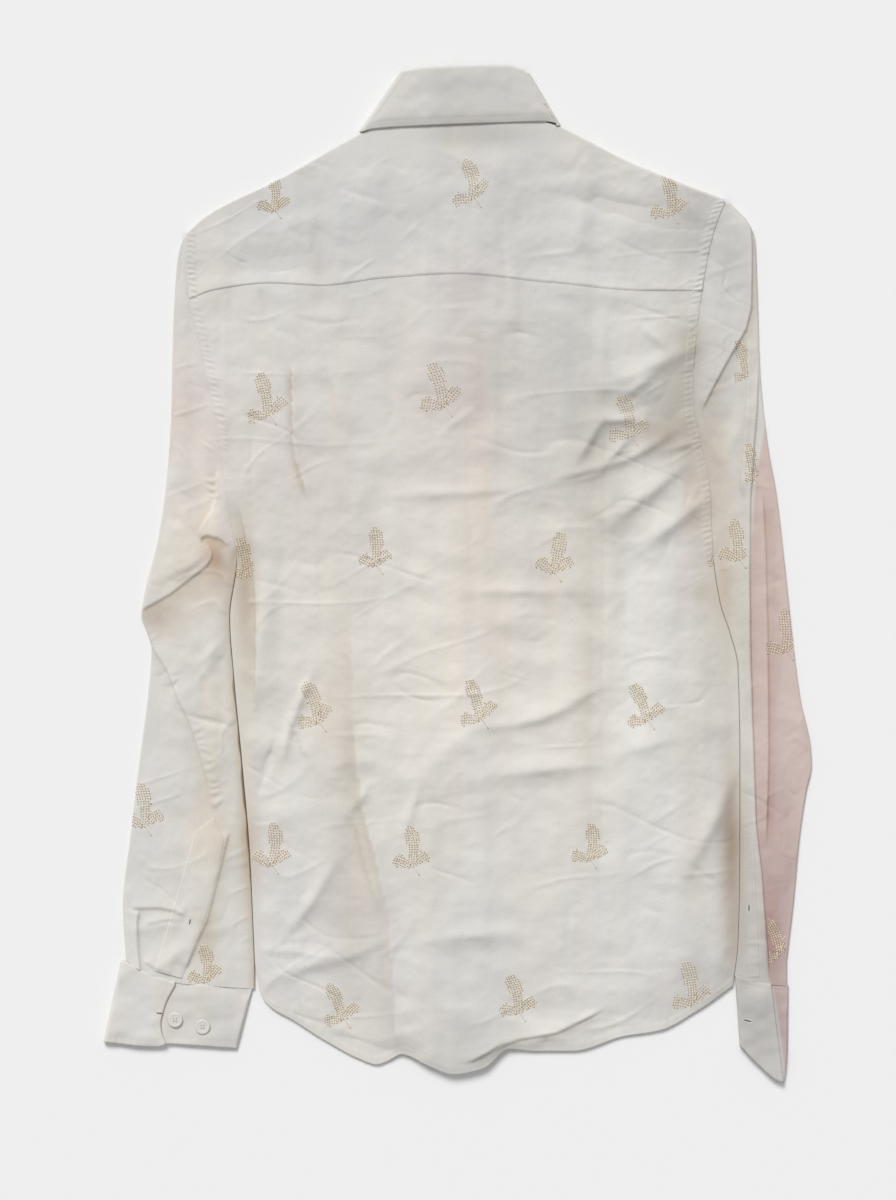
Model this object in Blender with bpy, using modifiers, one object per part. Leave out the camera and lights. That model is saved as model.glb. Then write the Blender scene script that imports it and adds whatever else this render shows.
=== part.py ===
"""Embroidered linen shirt, laid out flat on its front with its back up.

Metres, +Z up, the collar towards +Y. The tables and sizes below are in millimetres.
Every cloth piece is one sheet of quads, bent to its shape by a function and given its
thickness by Solidify. The fronts lie on the surface, the back and the yoke lie on the
fronts, each sleeve is a flattened tube beside the body, and the collar is folded over its stand.
"""

from collections import namedtuple
from math import cos, hypot, pi, radians, sin

import bmesh
import bpy
import numpy as np
from mathutils import Vector
from mathutils.bvhtree import BVHTree

MM = 0.001

# Cloth and seams
CLOTH = 1.1
COLLAR_CLOTH = 1.2
CUFF_CLOTH = 1.3
SEAM = 0.3
ARMHOLE_SEAM = 0.5
HIDDEN_SEAM = 1.2
CUFF_SEAM_GAP = 0.5
FLOOR_LAYER = CLOTH / 2
TOP_LAYER = CLOTH + SEAM + CLOTH / 2
TURN_LAYER = 2.3
PUFF = 1.5
PUFF_REACH = 24.0
FOLD_REACH = 12.0

# Button front, with the placket, the button band and the back stacked on the buttons
BUTTON_DIAMETER = 11.0
BUTTON_HEIGHT = 1.8
BUTTON_SIDES = 12
BAND_WIDTH = 32.0
BAND_SLOPE = 42.0
PLACKET_LAYER = BUTTON_HEIGHT + SEAM + CLOTH / 2
BAND_LAYER = PLACKET_LAYER + CLOTH + SEAM
COVER_OVER_BAND = BAND_LAYER + CLOTH + SEAM + 0.15
FIRST_BUTTON_Y = 196.0
BUTTON_PITCH = 87.0
FRONT_BUTTONS = 6

# Collar
COLLAR_ZONE_LAYER = 2.3
COLLAR_ZONE_HALF_WIDTH = 92.0
COLLAR_ZONE_Y = 208.0
COLLAR_ZONE_SLOPE = 22.0
COVER_OVER_COLLAR = COLLAR_ZONE_LAYER + CLOTH + SEAM + 0.15
LEAF_BACK_LAYER = 6.8
LEAF_FRONT_LAYER = COLLAR_CLOTH / 2
STAND_BACK_LAYER = COVER_OVER_COLLAR
COLLAR_BUTTON_Y = 259.0

# Sleeves and cuffs
YOKE_WRAP = 30.0
ARMPIT_Y = 11.0
CUFF_BUTTON_DIAMETER = 12.0
PLACKET_LIFT = 0.55

# Colours, linear
LINEN = (0.72, 0.69, 0.64)
PALE_BUTTON = (0.80, 0.78, 0.71)

# Middle of the laid-out shirt's outline, taken off every place
CENTRE = Vector((-0.05, 0.4, 0.0))

Edge = namedtuple("Edge", "at value")
Fold = namedtuple("Fold", "x0 y0 x1 y1 left right height")

# Armhole and side seam of the wearer's left: y, then x
LEFT_SIDE = [
    Edge(274, -217.0), Edge(246, -217.0), Edge(221, -215.0), Edge(185, -206.5), Edge(154, -200.0),
    Edge(124, -193.5), Edge(98, -190.0), Edge(45, -182.0), Edge(11, -177.0), Edge(-34, -182.5),
    Edge(-85, -179.0), Edge(-148, -173.0), Edge(-225, -166.5), Edge(-311, -162.6),
]
# Armhole and side seam of the wearer's right
RIGHT_SIDE = [
    Edge(300, 214.5), Edge(281, 207.0), Edge(257, 200.5), Edge(214, 193.6), Edge(164, 188.8),
    Edge(137, 188.4), Edge(115, 192.2), Edge(89, 198.4), Edge(68, 201.6), Edge(17, 204.0),
    Edge(-24, 210.0), Edge(-45, 217.0), Edge(-75, 224.0), Edge(-150, 225.5), Edge(-243, 225.3),
    Edge(-295, 224.0), Edge(-329, 220.0),
]
# Yoke seam: x, then y
YOKE_SEAM = [
    Edge(-216, 220.0), Edge(-195, 227.5), Edge(-150, 233.0), Edge(-109, 231.0), Edge(-60, 237.0),
    Edge(0, 240.0), Edge(70, 234.0), Edge(155, 227.0), Edge(199, 227.0),
]
# Shoulder fold and back neck seam
SHOULDER = [
    Edge(-217, 274.0), Edge(-202, 287.0), Edge(-143, 317.0), Edge(-102, 340.0), Edge(-70, 357.0),
    Edge(-58, 362.0), Edge(0, 363.5), Edge(62, 365.0), Edge(75, 361.0), Edge(114, 342.5),
    Edge(140, 329.5), Edge(169, 317.5), Edge(196, 307.0), Edge(214.5, 300.5),
]
# Hem of the back
HEM = [
    Edge(-162.6, -311.0), Edge(-159, -332.0), Edge(-155, -341.0), Edge(-131, -357.0), Edge(-106, -373.0),
    Edge(-80, -387.0), Edge(-65, -392.0), Edge(-56, -389.0), Edge(-45, -383.5), Edge(-24, -392.0),
    Edge(-4, -399.0), Edge(20, -394.5), Edge(41, -379.0), Edge(61, -381.0), Edge(92, -381.0),
    Edge(132, -369.5), Edge(162, -364.5), Edge(193, -348.0), Edge(220, -329.0),
]
# Front neckline of each half: y, then distance from the centre
NECKLINE = [Edge(240, 16.0), Edge(248, 26.0), Edge(264, 43.0), Edge(290, 57.0), Edge(330, 66.0), Edge(360, 70.0)]
# Outer edge of each sleeve: y, then x
LEFT_SLEEVE = [
    Edge(269, -220.5), Edge(257, -224.0), Edge(232, -226.5), Edge(188, -228.5), Edge(124, -230.0),
    Edge(72, -234.0), Edge(30, -240.0), Edge(-20, -252.0), Edge(-34, -253.6), Edge(-44, -250.0),
    Edge(-60, -245.5), Edge(-93, -248.0), Edge(-148, -255.0), Edge(-206, -262.0), Edge(-266, -268.5),
    Edge(-309, -266.0),
]
RIGHT_SLEEVE = [
    Edge(297, 219.0), Edge(283, 232.0), Edge(269, 238.0), Edge(236, 239.5), Edge(163, 242.0),
    Edge(106, 248.0), Edge(66, 255.0), Edge(6, 262.0), Edge(-59, 269.0), Edge(-97, 274.0),
    Edge(-140, 282.8), Edge(-152, 283.4), Edge(-174, 279.0), Edge(-208, 274.0), Edge(-261, 269.0),
    Edge(-309, 263.5),
]
# Lower end of each sleeve, where the cuff is sewn on: x, then y
LEFT_CUFF_SEAM = [Edge(-266, -309.5), Edge(-253, -317.0), Edge(-221, -327.0), Edge(-196, -329.0), Edge(-166, -331.0)]
RIGHT_CUFF_SEAM = [Edge(221, -320.5), Edge(243, -327.0), Edge(264, -329.0)]

# Main folds: a line, its falloff on the left and on the right of its direction, and its height
FOLDS = [
    Fold(-108, 205, -85, 60, 30, 16, 1.5),
    Fold(-85, 60, -52, -360, 34, 16, 1.7),
    Fold(122, 200, 113, -290, 16, 34, 1.6),
    Fold(-129, 160, -119, 64, 9, 10, -1.3),
    Fold(98, 92, 146, 146, 13, 11, 2.8),
    Fold(120, 116, 152, 166, 11, 10, 2.2),
    Fold(126, 44, 178, 86, 13, 12, 2.6),
    Fold(150, 24, 196, 60, 12, 14, 2.0),
    Fold(-46, 63, 50, 68, 11, 9, 1.6),
    Fold(14, -13, 82, -14, 10, 9, 1.3),
    Fold(18, -122, 108, -92, 12, 10, 2.4),
    Fold(-36, -164, 20, -116, 11, 10, 1.8),
    Fold(32, -160, 106, -152, 11, 10, 2.0),
    Fold(130, -142, 178, -129, 12, 11, 1.9),
    Fold(184, -236, 222, -162, 12, 12, 2.3),
    Fold(-152, -330, -78, -300, 13, 11, 2.4),
    Fold(-30, -293, 44, -286, 11, 11, 1.5),
    Fold(4, -386, 118, -347, 11, 12, 2.0),
    Fold(-150, 12, -160, -90, 12, 9, 1.6),
]
LEFT_SLEEVE_FOLDS = [
    Fold(-199, 8, -252, -26, 7, 34, 2.9),
    Fold(-205, 60, -198, 12, 10, 10, 2.2),
    Fold(-236, -64, -207, -147, 9, 14, 1.7),
    Fold(-266, -267, -222, -272, 11, 12, 1.5),
    Fold(-254, -268, -254, -312, 8, 8, 1.5),
]
RIGHT_SLEEVE_FOLDS = [
    Fold(234, 200, 196, 122, 24, 8, 2.6),
    Fold(236, 20, 240, -318, 8, 30, -1.8),
    Fold(231, 60, 234, -40, 9, 8, 2.2),
    Fold(243, 100, 249, -60, 7, 9, 2.0),
    Fold(214, 96, 232, 130, 9, 9, 1.8),
]

# Front parts of the collar leaf: the roll line's end, the side fold and the point
LEFT_LEAF = {"end": (-10, 271), "point": (-57, 224), "roll": (-46.5, 401.0), "side": (-79, 354)}
RIGHT_LEAF = {"end": (12, 272), "point": (62, 227), "roll": (57.0, 401.0), "side": (82, 359)}
LEAF_TOP = [Edge(-49, 401.5), Edge(-22, 405.5), Edge(8, 406.5), Edge(37, 407.3), Edge(60, 401.0)]
LEAF_LOW = [Edge(-80, 353.0), Edge(-68, 356.5), Edge(-20, 359.5), Edge(35, 361.5), Edge(70, 362.5), Edge(83, 360.0)]

# Placket of each sleeve: its middle line from the point to the cuff, and its width
LEFT_PLACKET = {"top": (-195, -194), "shoulder": 15.0, "low": (-231.5, -320.0), "width": 23.0}
RIGHT_PLACKET = {"top": (231.5, -196), "shoulder": 12.0, "low": (237.0, -322.0), "width": 9.0}


def curve(rows, at):
    """Smooth monotone curve through a table's rows."""
    keys, values = np.array(sorted(rows), float).T
    steps = np.diff(keys)
    slopes = np.diff(values) / steps
    before, after = slopes[:-1], slopes[1:]
    same_way = before * after > 0
    weight_before = 2 * steps[1:] + steps[:-1]
    weight_after = steps[1:] + 2 * steps[:-1]
    safe_before = np.where(same_way, before, 1)
    safe_after = np.where(same_way, after, 1)
    mean = (weight_before + weight_after) / (weight_before / safe_before + weight_after / safe_after)
    tangents = np.concatenate([slopes[:1], np.where(same_way, mean, 0), slopes[-1:]])
    at = min(max(at, keys[0]), keys[-1])
    cell = min(max(int(np.searchsorted(keys, at, side="right")) - 1, 0), len(steps) - 1)
    span = steps[cell]
    t = (at - keys[cell]) / span
    start = values[cell] * (1 + 2 * t) * (1 - t) ** 2 + tangents[cell] * span * t * (1 - t) ** 2
    end = values[cell + 1] * t * t * (3 - 2 * t) - tangents[cell + 1] * span * t * t * (1 - t)
    return float(start + end)


def blend(start, end, t):
    return start + (end - start) * t


def eased(t):
    t = min(max(t, 0.0), 1.0)
    return t * t * (3 - 2 * t)


def rounded(t):
    """Quarter-round rise from 0 at an edge to 1."""
    return sin(min(max(t, 0.0), 1.0) * pi / 2)


def fold_height(folds, x, y):
    """Sum of the folds' soft ridges and troughs at a point."""
    total = 0.0
    for fold in folds:
        along_x, along_y = fold.x1 - fold.x0, fold.y1 - fold.y0
        length = hypot(along_x, along_y)
        t = ((x - fold.x0) * along_x + (y - fold.y0) * along_y) / length**2
        t_in = min(max(t, 0.0), 1.0)
        side = ((x - fold.x0) * along_y - (y - fold.y0) * along_x) / length
        width = fold.right if side > 0 else fold.left
        past_end = abs(t - t_in) * length
        fade = 0.45 + 0.55 * sin(t_in * pi)
        total += fold.height * fade * np.exp(-(side / width) ** 2 - (past_end / 12.0) ** 2)
    return float(total)


def collar_zone(x, y):
    """1 where the cloth lies over the collar's front parts, 0 away from them."""
    across = 1 - eased((abs(x) - COLLAR_ZONE_HALF_WIDTH) / COLLAR_ZONE_SLOPE)
    along = eased((y - COLLAR_ZONE_Y + COLLAR_ZONE_SLOPE) / COLLAR_ZONE_SLOPE)
    return across * along


def band_zone(x, y, slope=BAND_SLOPE):
    """1 over the button front, 0 away from it."""
    across = 1 - eased((abs(x) - BAND_WIDTH / 2 - 1) / slope)
    return across * (1 - eased((y - 300) / 40))


def across_body(u, y, clear):
    """x of the share u of the way from the left side seam to the right one."""
    return blend(curve(LEFT_SIDE, y) + clear, curve(RIGHT_SIDE, y) - clear, u)


def side_distance(x, y):
    """Distance from the body's nearer side seam, counted only below the armpits."""
    distances = []
    for side in (LEFT_SIDE, RIGHT_SIDE):
        if y < ARMPIT_Y:
            distances.append(abs(x - curve(side, y)))
        else:
            distances.append(hypot(x - curve(side, ARMPIT_Y), y - ARMPIT_Y))
    return min(distances)


def cover(x, y):
    """Height of the back, the yoke and the sleeves' upper layer near the armholes."""
    base = TOP_LAYER
    base += max(
        (COVER_OVER_BAND - TOP_LAYER) * band_zone(x, y),
        (COVER_OVER_COLLAR - TOP_LAYER) * collar_zone(x, y),
    )
    inside = side_distance(x, y)
    above_hem = max(y - curve(HEM, x), 0.0)
    puff = PUFF * rounded(inside / PUFF_REACH) * rounded((above_hem + 3) / PUFF_REACH)
    folds = fold_height(FOLDS, x, y)
    near_edge = rounded(inside / FOLD_REACH) * rounded((above_hem + 2) / FOLD_REACH)
    return base + max(puff + folds * near_edge, 0.0)


def front_layer(x, y, over_band):
    """Height of a front: on the surface, and raised to its band at the centre and over the collar."""
    rise = over_band - FLOOR_LAYER
    band = rise * band_zone(x, y, BAND_SLOPE - 4)
    collar = (COLLAR_ZONE_LAYER - FLOOR_LAYER) * collar_zone(x, y)
    return FLOOR_LAYER + max(band, collar)


def material(name, colour, roughness):
    made = bpy.data.materials.new(name)
    made.use_nodes = True
    shader = made.node_tree.nodes["Principled BSDF"]
    shader.inputs["Base Color"].default_value = (*colour, 1.0)
    shader.inputs["Roughness"].default_value = roughness
    shader.inputs["Metallic"].default_value = 0.0
    return made


def clear_scene():
    for old in list(bpy.data.objects):
        bpy.data.objects.remove(old, do_unlink=True)


def add_object(name, mesh, collection, surface):
    data = bpy.data.meshes.new(name)
    mesh.to_mesh(data)
    mesh.free()
    data.shade_smooth()
    data.materials.append(surface)
    made = bpy.data.objects.new(name, data)
    made.location = -CENTRE * MM
    collection.objects.link(made)
    return made


def sheet(columns, rows, place, drops=None, closes=False):
    """A grid of quads with place(i, j) as its points in mm. drops(i, j) leaves out a face."""
    mesh = bmesh.new()
    bmesh.ops.create_grid(mesh, x_segments=columns, y_segments=rows, size=0.5)
    index = {}
    for vert in mesh.verts:
        index[vert] = (round((vert.co.x + 0.5) * columns), round((vert.co.y + 0.5) * rows))
    if drops:
        dropped = []
        for face in mesh.faces:
            corner = [min(index[vert][axis] for vert in face.verts) for axis in (0, 1)]
            if drops(*corner):
                dropped.append(face)
        bmesh.ops.delete(mesh, geom=dropped, context="FACES")
    for vert in mesh.verts:
        vert.co = Vector(place(*index[vert])) * MM
    if closes:
        bmesh.ops.remove_doubles(mesh, verts=mesh.verts, dist=1e-6)
    return mesh


def thicken(made, thickness):
    solidify = made.modifiers.new("Cloth", "SOLIDIFY")
    solidify.thickness = thickness * MM
    solidify.offset = 0.0


def cloth_piece(name, mesh, shirt, thickness=CLOTH):
    made = add_object(name, mesh, shirt["collection"], shirt["linen"])
    thicken(made, thickness)
    return made


def half_ring(start, end, outward, steps):
    """Points of a half-round turn from start to end, bulging outward by half their distance."""
    start, end, outward = Vector(start), Vector(end), Vector(outward).normalized()
    middle = (start + end) / 2
    arm = (start - end) / 2
    points = []
    for step in range(1, steps):
        angle = pi * step / steps
        points.append(middle + arm * cos(angle) + outward * arm.length * sin(angle))
    return points


BACK_COLUMNS = 28
BACK_ROWS = 38


def back_panel(shirt):
    """The back from the yoke seam to the shirt-tail hem."""

    def place(i, j):
        u, v = i / BACK_COLUMNS, j / BACK_ROWS
        seam_y = curve(YOKE_SEAM, blend(-216, 199, u)) - SEAM / 2
        hem_y = curve(HEM, blend(-162.6, 220, u))
        y = blend(hem_y, seam_y, v)
        x = across_body(u, y, ARMHOLE_SEAM / 2)
        return x, y, cover(x, y)

    cloth_piece("back_panel", sheet(BACK_COLUMNS, BACK_ROWS, place), shirt)


YOKE_COLUMNS = 28
YOKE_TOP_ROWS = 7
YOKE_TURN_ROWS = 4
YOKE_WRAP_ROWS = 2
NECK_LEFT = -66.0
NECK_RIGHT = 72.0
YOKE_LAP = 0.5


def yoke(shirt):
    """The yoke over the upper back, turned over each shoulder to the front."""

    def column_x(i):
        return blend(-217, 214.5, i / YOKE_COLUMNS)

    def layer(x, y):
        lap = YOKE_LAP * (1 - eased((y - curve(YOKE_SEAM, x)) / 18))
        return max(cover(x, y), TURN_LAYER) + lap

    def wrap_layer(x, y):
        return front_layer(x, y, FLOOR_LAYER)

    def place(i, j):
        u = i / YOKE_COLUMNS
        seam_y = curve(YOKE_SEAM, blend(-216, 199, u)) + SEAM / 2
        edge_x = column_x(i)
        edge_y = curve(SHOULDER, edge_x)
        in_neck = NECK_LEFT < edge_x < NECK_RIGHT
        radius = 0.0 if in_neck else (layer(edge_x, edge_y) - wrap_layer(edge_x, edge_y)) / 2
        last_y = edge_y - radius
        if j <= YOKE_TOP_ROWS:
            y = blend(seam_y, last_y, j / YOKE_TOP_ROWS)
        else:
            y = last_y
        x = across_body(u, y, ARMHOLE_SEAM / 2)
        if j <= YOKE_TOP_ROWS:
            return x, y, layer(x, y)
        turned = j - YOKE_TOP_ROWS
        low = wrap_layer(x, y)
        if turned < YOKE_TURN_ROWS:
            return half_ring((x, y, layer(x, y)), (x, y, low), (0, 1, 0), YOKE_TURN_ROWS)[turned - 1]
        y = last_y - (turned - YOKE_TURN_ROWS) * (YOKE_WRAP - radius) / YOKE_WRAP_ROWS
        x = across_body(u, y, ARMHOLE_SEAM / 2)
        return x, y, wrap_layer(x, y)

    def over_neck(i, j):
        return j >= YOKE_TOP_ROWS and column_x(i + 1) > NECK_LEFT and column_x(i) < NECK_RIGHT

    rows = YOKE_TOP_ROWS + YOKE_TURN_ROWS + YOKE_WRAP_ROWS
    cloth_piece("back_yoke", sheet(YOKE_COLUMNS, rows, place, over_neck), shirt)


FRONT_COLUMNS = 8
BAND_COLUMNS = 2
FRONT_ROWS = 15
NECK_ROWS = 8
NECK_ROWS_FROM = 195.0
FRONT_HEM_INSET = 5.0


def front(name, shirt, side, sign, inner_x, over_band):
    """One front, from its side seam to its band, and from the yoke to the hem."""
    shoulder_end = sign * 215.5
    slope_start = sign * (BAND_WIDTH / 2 + 2)

    def inner(y):
        """Inner edge: the neckline above the band, or the band's edge."""
        if y <= NECKLINE[0].at:
            return inner_x
        return sign * (curve(NECKLINE, y) + HIDDEN_SEAM)

    def share(i):
        """Columns evenly over the front, then narrower ones over the button band."""
        band_share = abs(slope_start - inner_x) / 235
        if i <= FRONT_COLUMNS:
            return blend(0, 1 - band_share, i / FRONT_COLUMNS)
        return blend(1 - band_share, 1, (i - FRONT_COLUMNS) / BAND_COLUMNS)

    def place(i, j):
        u = share(i)
        top_y = curve(SHOULDER, blend(shoulder_end, sign * 70, u)) - YOKE_WRAP - HIDDEN_SEAM
        hem_x = blend(curve(side, -400), inner_x, u)
        low_y = curve(HEM, hem_x) + FRONT_HEM_INSET * rounded(u)
        if j <= FRONT_ROWS:
            y = blend(low_y, NECK_ROWS_FROM, j / FRONT_ROWS)
        else:
            y = blend(NECK_ROWS_FROM, top_y, (j - FRONT_ROWS) / NECK_ROWS)
        x = blend(curve(side, y) - sign * HIDDEN_SEAM, inner(y), u)
        z = front_layer(x, y, over_band)
        in_band = i >= FRONT_COLUMNS and y < COLLAR_BUTTON_Y
        return x, y, max(z, over_band) if in_band else z

    cloth_piece(name, sheet(FRONT_COLUMNS + BAND_COLUMNS, FRONT_ROWS + NECK_ROWS, place), shirt)


def front_placket(shirt):
    """The buttonhole placket, sewn to the left front's edge and lying on the buttons."""
    columns, rows = 4, 16
    left, right = -BAND_WIDTH / 2 + SEAM, BAND_WIDTH / 2

    def place(i, j):
        x = blend(left, right, i / columns)
        y = blend(curve(HEM, x) + FRONT_HEM_INSET, NECKLINE[0].at - SEAM, j / rows)
        return x, y, PLACKET_LAYER

    cloth_piece("front_placket", sheet(columns, rows, place), shirt)


SIDE_CLEARANCE = 0.7
NOMINAL_SLEEVE = 100.0
SLEEVE_TOP_CELLS = 6
SLEEVE_LOW_CELLS = 4
TURN_CELLS = 4
SLEEVE_ROWS = 32


def sleeve_top(folds, x, y, from_inner, from_outer, below_armpit):
    """Height of a sleeve's upper layer."""
    open_side = rounded(from_inner / PUFF_REACH) if below_armpit else 1.0
    inner_fade = blend(1.0, open_side, eased((ARMPIT_Y - y) / 30))
    fold_side = rounded((from_inner + 1) / 8) if below_armpit else 1.0
    fold_fade = blend(1.0, fold_side, eased((ARMPIT_Y - y) / 30)) * rounded((from_outer + 1) / 9)
    puff = PUFF * rounded((from_outer + 1.5) / PUFF_REACH) * inner_fade
    height = puff + fold_height(folds, x, y) * fold_fade
    return max(TOP_LAYER + height, TURN_LAYER)


def sleeve(name, shirt, side, outer_rows, cuff_seam, folds, sign, slit):
    """A flattened tube, closed below the armpit and open to the armhole above it."""
    top_y = max(row.at for row in outer_rows)
    armpit_row = round((top_y - ARMPIT_Y) / (top_y - min(row.at for row in outer_rows)) * SLEEVE_ROWS)
    radius = (TURN_LAYER - FLOOR_LAYER) / 2
    half_turn = TURN_CELLS // 2
    columns = 2 * TURN_CELLS + SLEEVE_TOP_CELLS + SLEEVE_LOW_CELLS

    def inner_x(y):
        return curve(side, y) + sign * (ARMHOLE_SEAM / 2 + SIDE_CLEARANCE * eased((ARMPIT_Y + 14 - y) / 20))

    def row_y(j, x_share):
        bottom_x = blend(curve(side, -330), curve(outer_rows, -330), x_share)
        return blend(top_y, curve(cuff_seam, bottom_x) + SEAM / 2, j / SLEEVE_ROWS)

    def around(i, width, turn):
        """Distance from the inner edge, the layer and the share of the turn for a column."""
        if i < half_turn:
            angle = radians(90) * i / half_turn
            return turn * (1 - cos(angle)), "turn", sin(angle)
        i -= half_turn
        if i <= SLEEVE_TOP_CELLS:
            return blend(turn, width - radius, i / SLEEVE_TOP_CELLS), "top", 1.0
        i -= SLEEVE_TOP_CELLS
        if i < TURN_CELLS:
            angle = pi * i / TURN_CELLS
            return width - radius + radius * sin(angle), "turn", cos(angle)
        i -= TURN_CELLS
        if i <= SLEEVE_LOW_CELLS:
            return blend(width - radius, turn, i / SLEEVE_LOW_CELLS), "low", -1.0
        angle = radians(90) * (1 - (i - SLEEVE_LOW_CELLS) / half_turn)
        return turn * (1 - cos(angle)), "turn", -sin(angle)

    def place(i, j):
        j = SLEEVE_ROWS - j
        below = j > armpit_row
        turn = radius * eased((j - armpit_row) / 2)
        y = row_y(j, around(i, NOMINAL_SLEEVE, 0.0)[0] / NOMINAL_SLEEVE)
        inner, outer = inner_x(y), curve(outer_rows, y)
        width = abs(outer - inner)
        distance, layer, lift = around(i, width, turn)
        x = inner + sign * distance
        middle = (TURN_LAYER + FLOOR_LAYER) / 2
        if layer == "top":
            return x, y, sleeve_top(folds, x, y, distance, width - distance, below)
        if layer == "low":
            return x, y, FLOOR_LAYER
        return x, y, middle + lift * radius

    def above_armpit(i, j):
        row = SLEEVE_ROWS - 1 - j
        in_turn = i < half_turn or i >= columns - half_turn
        return row < armpit_row and in_turn

    mesh = sheet(columns, SLEEVE_ROWS, place, above_armpit, closes=True)
    made = cloth_piece(name, mesh, shirt)
    cut_slit(made, slit)
    return made


def cut_slit(panel, slit):
    """Opens the sleeve's upper layer from the placket's point to the cuff."""
    top, low = Vector((*slit["top"], 0)), Vector((*slit["low"], 0))
    along = (low - top).normalized()
    start = top + along * slit["shoulder"]
    end = low + along * 30
    cutter_mesh = bmesh.new()
    bmesh.ops.create_cube(cutter_mesh, size=1.0)
    for vert in cutter_mesh.verts:
        vert.co = Vector((vert.co.x * 1.2, vert.co.y * (end - start).length, vert.co.z * 12)) * MM
    data = bpy.data.meshes.new("slit_cutter")
    cutter_mesh.to_mesh(data)
    cutter_mesh.free()
    cutter = bpy.data.objects.new(panel.name + "_slit", data)
    cutter.location = ((start + end) / 2 + Vector((0, 0, TOP_LAYER - CLOTH / 2 - 0.15 + 6)) - CENTRE) * MM
    cutter.rotation_euler.z = along.to_2d().angle_signed(Vector((0, -1)))
    cutter.hide_render = True
    cutter.display_type = "WIRE"
    bpy.data.collections["Cutters"].objects.link(cutter)
    boolean = panel.modifiers.new("Slit", "BOOLEAN")
    boolean.object = cutter
    boolean.operation = "DIFFERENCE"
    boolean.solver = "EXACT"


def evaluated_tree(made):
    graph = bpy.context.evaluated_depsgraph_get()
    return BVHTree.FromObject(made, graph)


def seated(tree, x, y, lift):
    """A point lift mm above the highest cloth under (x, y)."""
    hit, _, _, _ = tree.ray_cast(Vector((x, y, 50)) * MM, Vector((0, 0, -1)))
    return hit.z / MM + lift


def sleeve_placket(name, shirt, panel, shape):
    """The pointed strip over the sleeve's slit, made from the sleeve's own points, moved out."""
    columns, rows = 4, 9
    top, low = Vector(shape["top"]), Vector(shape["low"])
    along = (low - top).normalized()
    across = Vector((-along.y, along.x))
    length = (low - top).length
    tree = evaluated_tree(panel)
    reach = 2.0

    def place(i, j):
        s = i / columns * 2 - 1
        distance = length * (1 - j / rows)
        wide = min(distance / shape["shoulder"], 1.0)
        middle = top + along * distance
        point = middle + across * (s * shape["width"] / 2 * max(wide, 0.12))
        heights = []
        for dx in (-reach, 0, reach):
            for dy in (-reach, 0, reach):
                heights.append(seated(tree, point.x + dx, point.y + dy, 0) if hits(point, dx, dy) else 0)
        return point.x, point.y, max(heights) + CLOTH / 2 + PLACKET_LIFT

    def hits(point, dx, dy):
        hit, _, _, _ = tree.ray_cast(Vector((point.x + dx, point.y + dy, 50)) * MM, Vector((0, 0, -1)))
        return hit is not None

    cloth_piece(name, sheet(columns, rows, place), shirt)


COLLAR_FRONT_CELLS = 5
COLLAR_BACK_CELLS = 9
COLLAR_TURN_CELLS = 6
COLLAR_ROWS = 4
ROLL_ROWS = 4


def collar_columns(front_cells, back_cells, inset, front_layer_z, back_layer_z, past_end=0.0):
    """Top and lower points of the leaf's columns, from its left front end round the back to its right."""
    columns = []
    radius = (back_layer_z - front_layer_z) / 2
    left_top = Vector((*LEFT_LEAF["roll"], front_layer_z)) + Vector((radius + inset, 0, 0))
    left_low = Vector((*LEFT_LEAF["side"], front_layer_z)) + Vector((radius + inset, 0, 0))
    right_top = Vector((*RIGHT_LEAF["roll"], front_layer_z)) - Vector((radius + inset, 0, 0))
    right_low = Vector((*RIGHT_LEAF["side"], front_layer_z)) - Vector((radius + inset, 0, 0))
    rise = Vector((0, 0, back_layer_z - front_layer_z))
    left_end = Vector((*LEFT_LEAF["end"], front_layer_z)) + Vector((past_end, 0, 0))
    left_point = Vector((*LEFT_LEAF["point"], front_layer_z))
    right_end = Vector((*RIGHT_LEAF["end"], front_layer_z)) - Vector((past_end, 0, 0))
    right_point = Vector((*RIGHT_LEAF["point"], front_layer_z))
    for step in range(front_cells + 1):
        t = step / front_cells
        columns.append((left_end.lerp(left_top, t), left_point.lerp(left_low, t)))
    tops = half_ring(left_top, left_top + rise, (-1, 0, 0), COLLAR_TURN_CELLS)
    lows = half_ring(left_low, left_low + rise, (-1, 0, 0), COLLAR_TURN_CELLS)
    columns.extend(zip(tops, lows))
    for step in range(back_cells + 1):
        t = step / back_cells
        top = (left_top + rise).lerp(right_top + rise, t)
        low = (left_low + rise).lerp(right_low + rise, t)
        columns.append((top, low))
    tops = half_ring(right_top + rise, right_top, (1, 0, 0), COLLAR_TURN_CELLS)
    lows = half_ring(right_low + rise, right_low, (1, 0, 0), COLLAR_TURN_CELLS)
    columns.extend(zip(tops, lows))
    for step in range(front_cells + 1):
        t = step / front_cells
        columns.append((right_top.lerp(right_end, t), right_low.lerp(right_point, t)))
    return columns


def collar_leaf(shirt):
    """The turned-down leaf: flat over the back, folded round both sides to the points in front."""
    columns = collar_columns(COLLAR_FRONT_CELLS, COLLAR_BACK_CELLS, 0, LEAF_FRONT_LAYER, LEAF_BACK_LAYER)
    first_back = COLLAR_FRONT_CELLS + COLLAR_TURN_CELLS
    last_back = first_back + COLLAR_BACK_CELLS

    def place(i, j):
        top, low = columns[i]
        if first_back < i < last_back:
            top = Vector((top.x, curve(LEAF_TOP, top.x), top.z))
            low = Vector((low.x, curve(LEAF_LOW, low.x), low.z))
        v = j / COLLAR_ROWS
        bow = sin(v * pi) * (0.8 if first_back <= i <= last_back else 0.0)
        point = low.lerp(top, v)
        return point.x, point.y, point.z + bow

    cloth_piece("collar_leaf", sheet(len(columns) - 1, COLLAR_ROWS, place), shirt, COLLAR_CLOTH)


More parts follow.
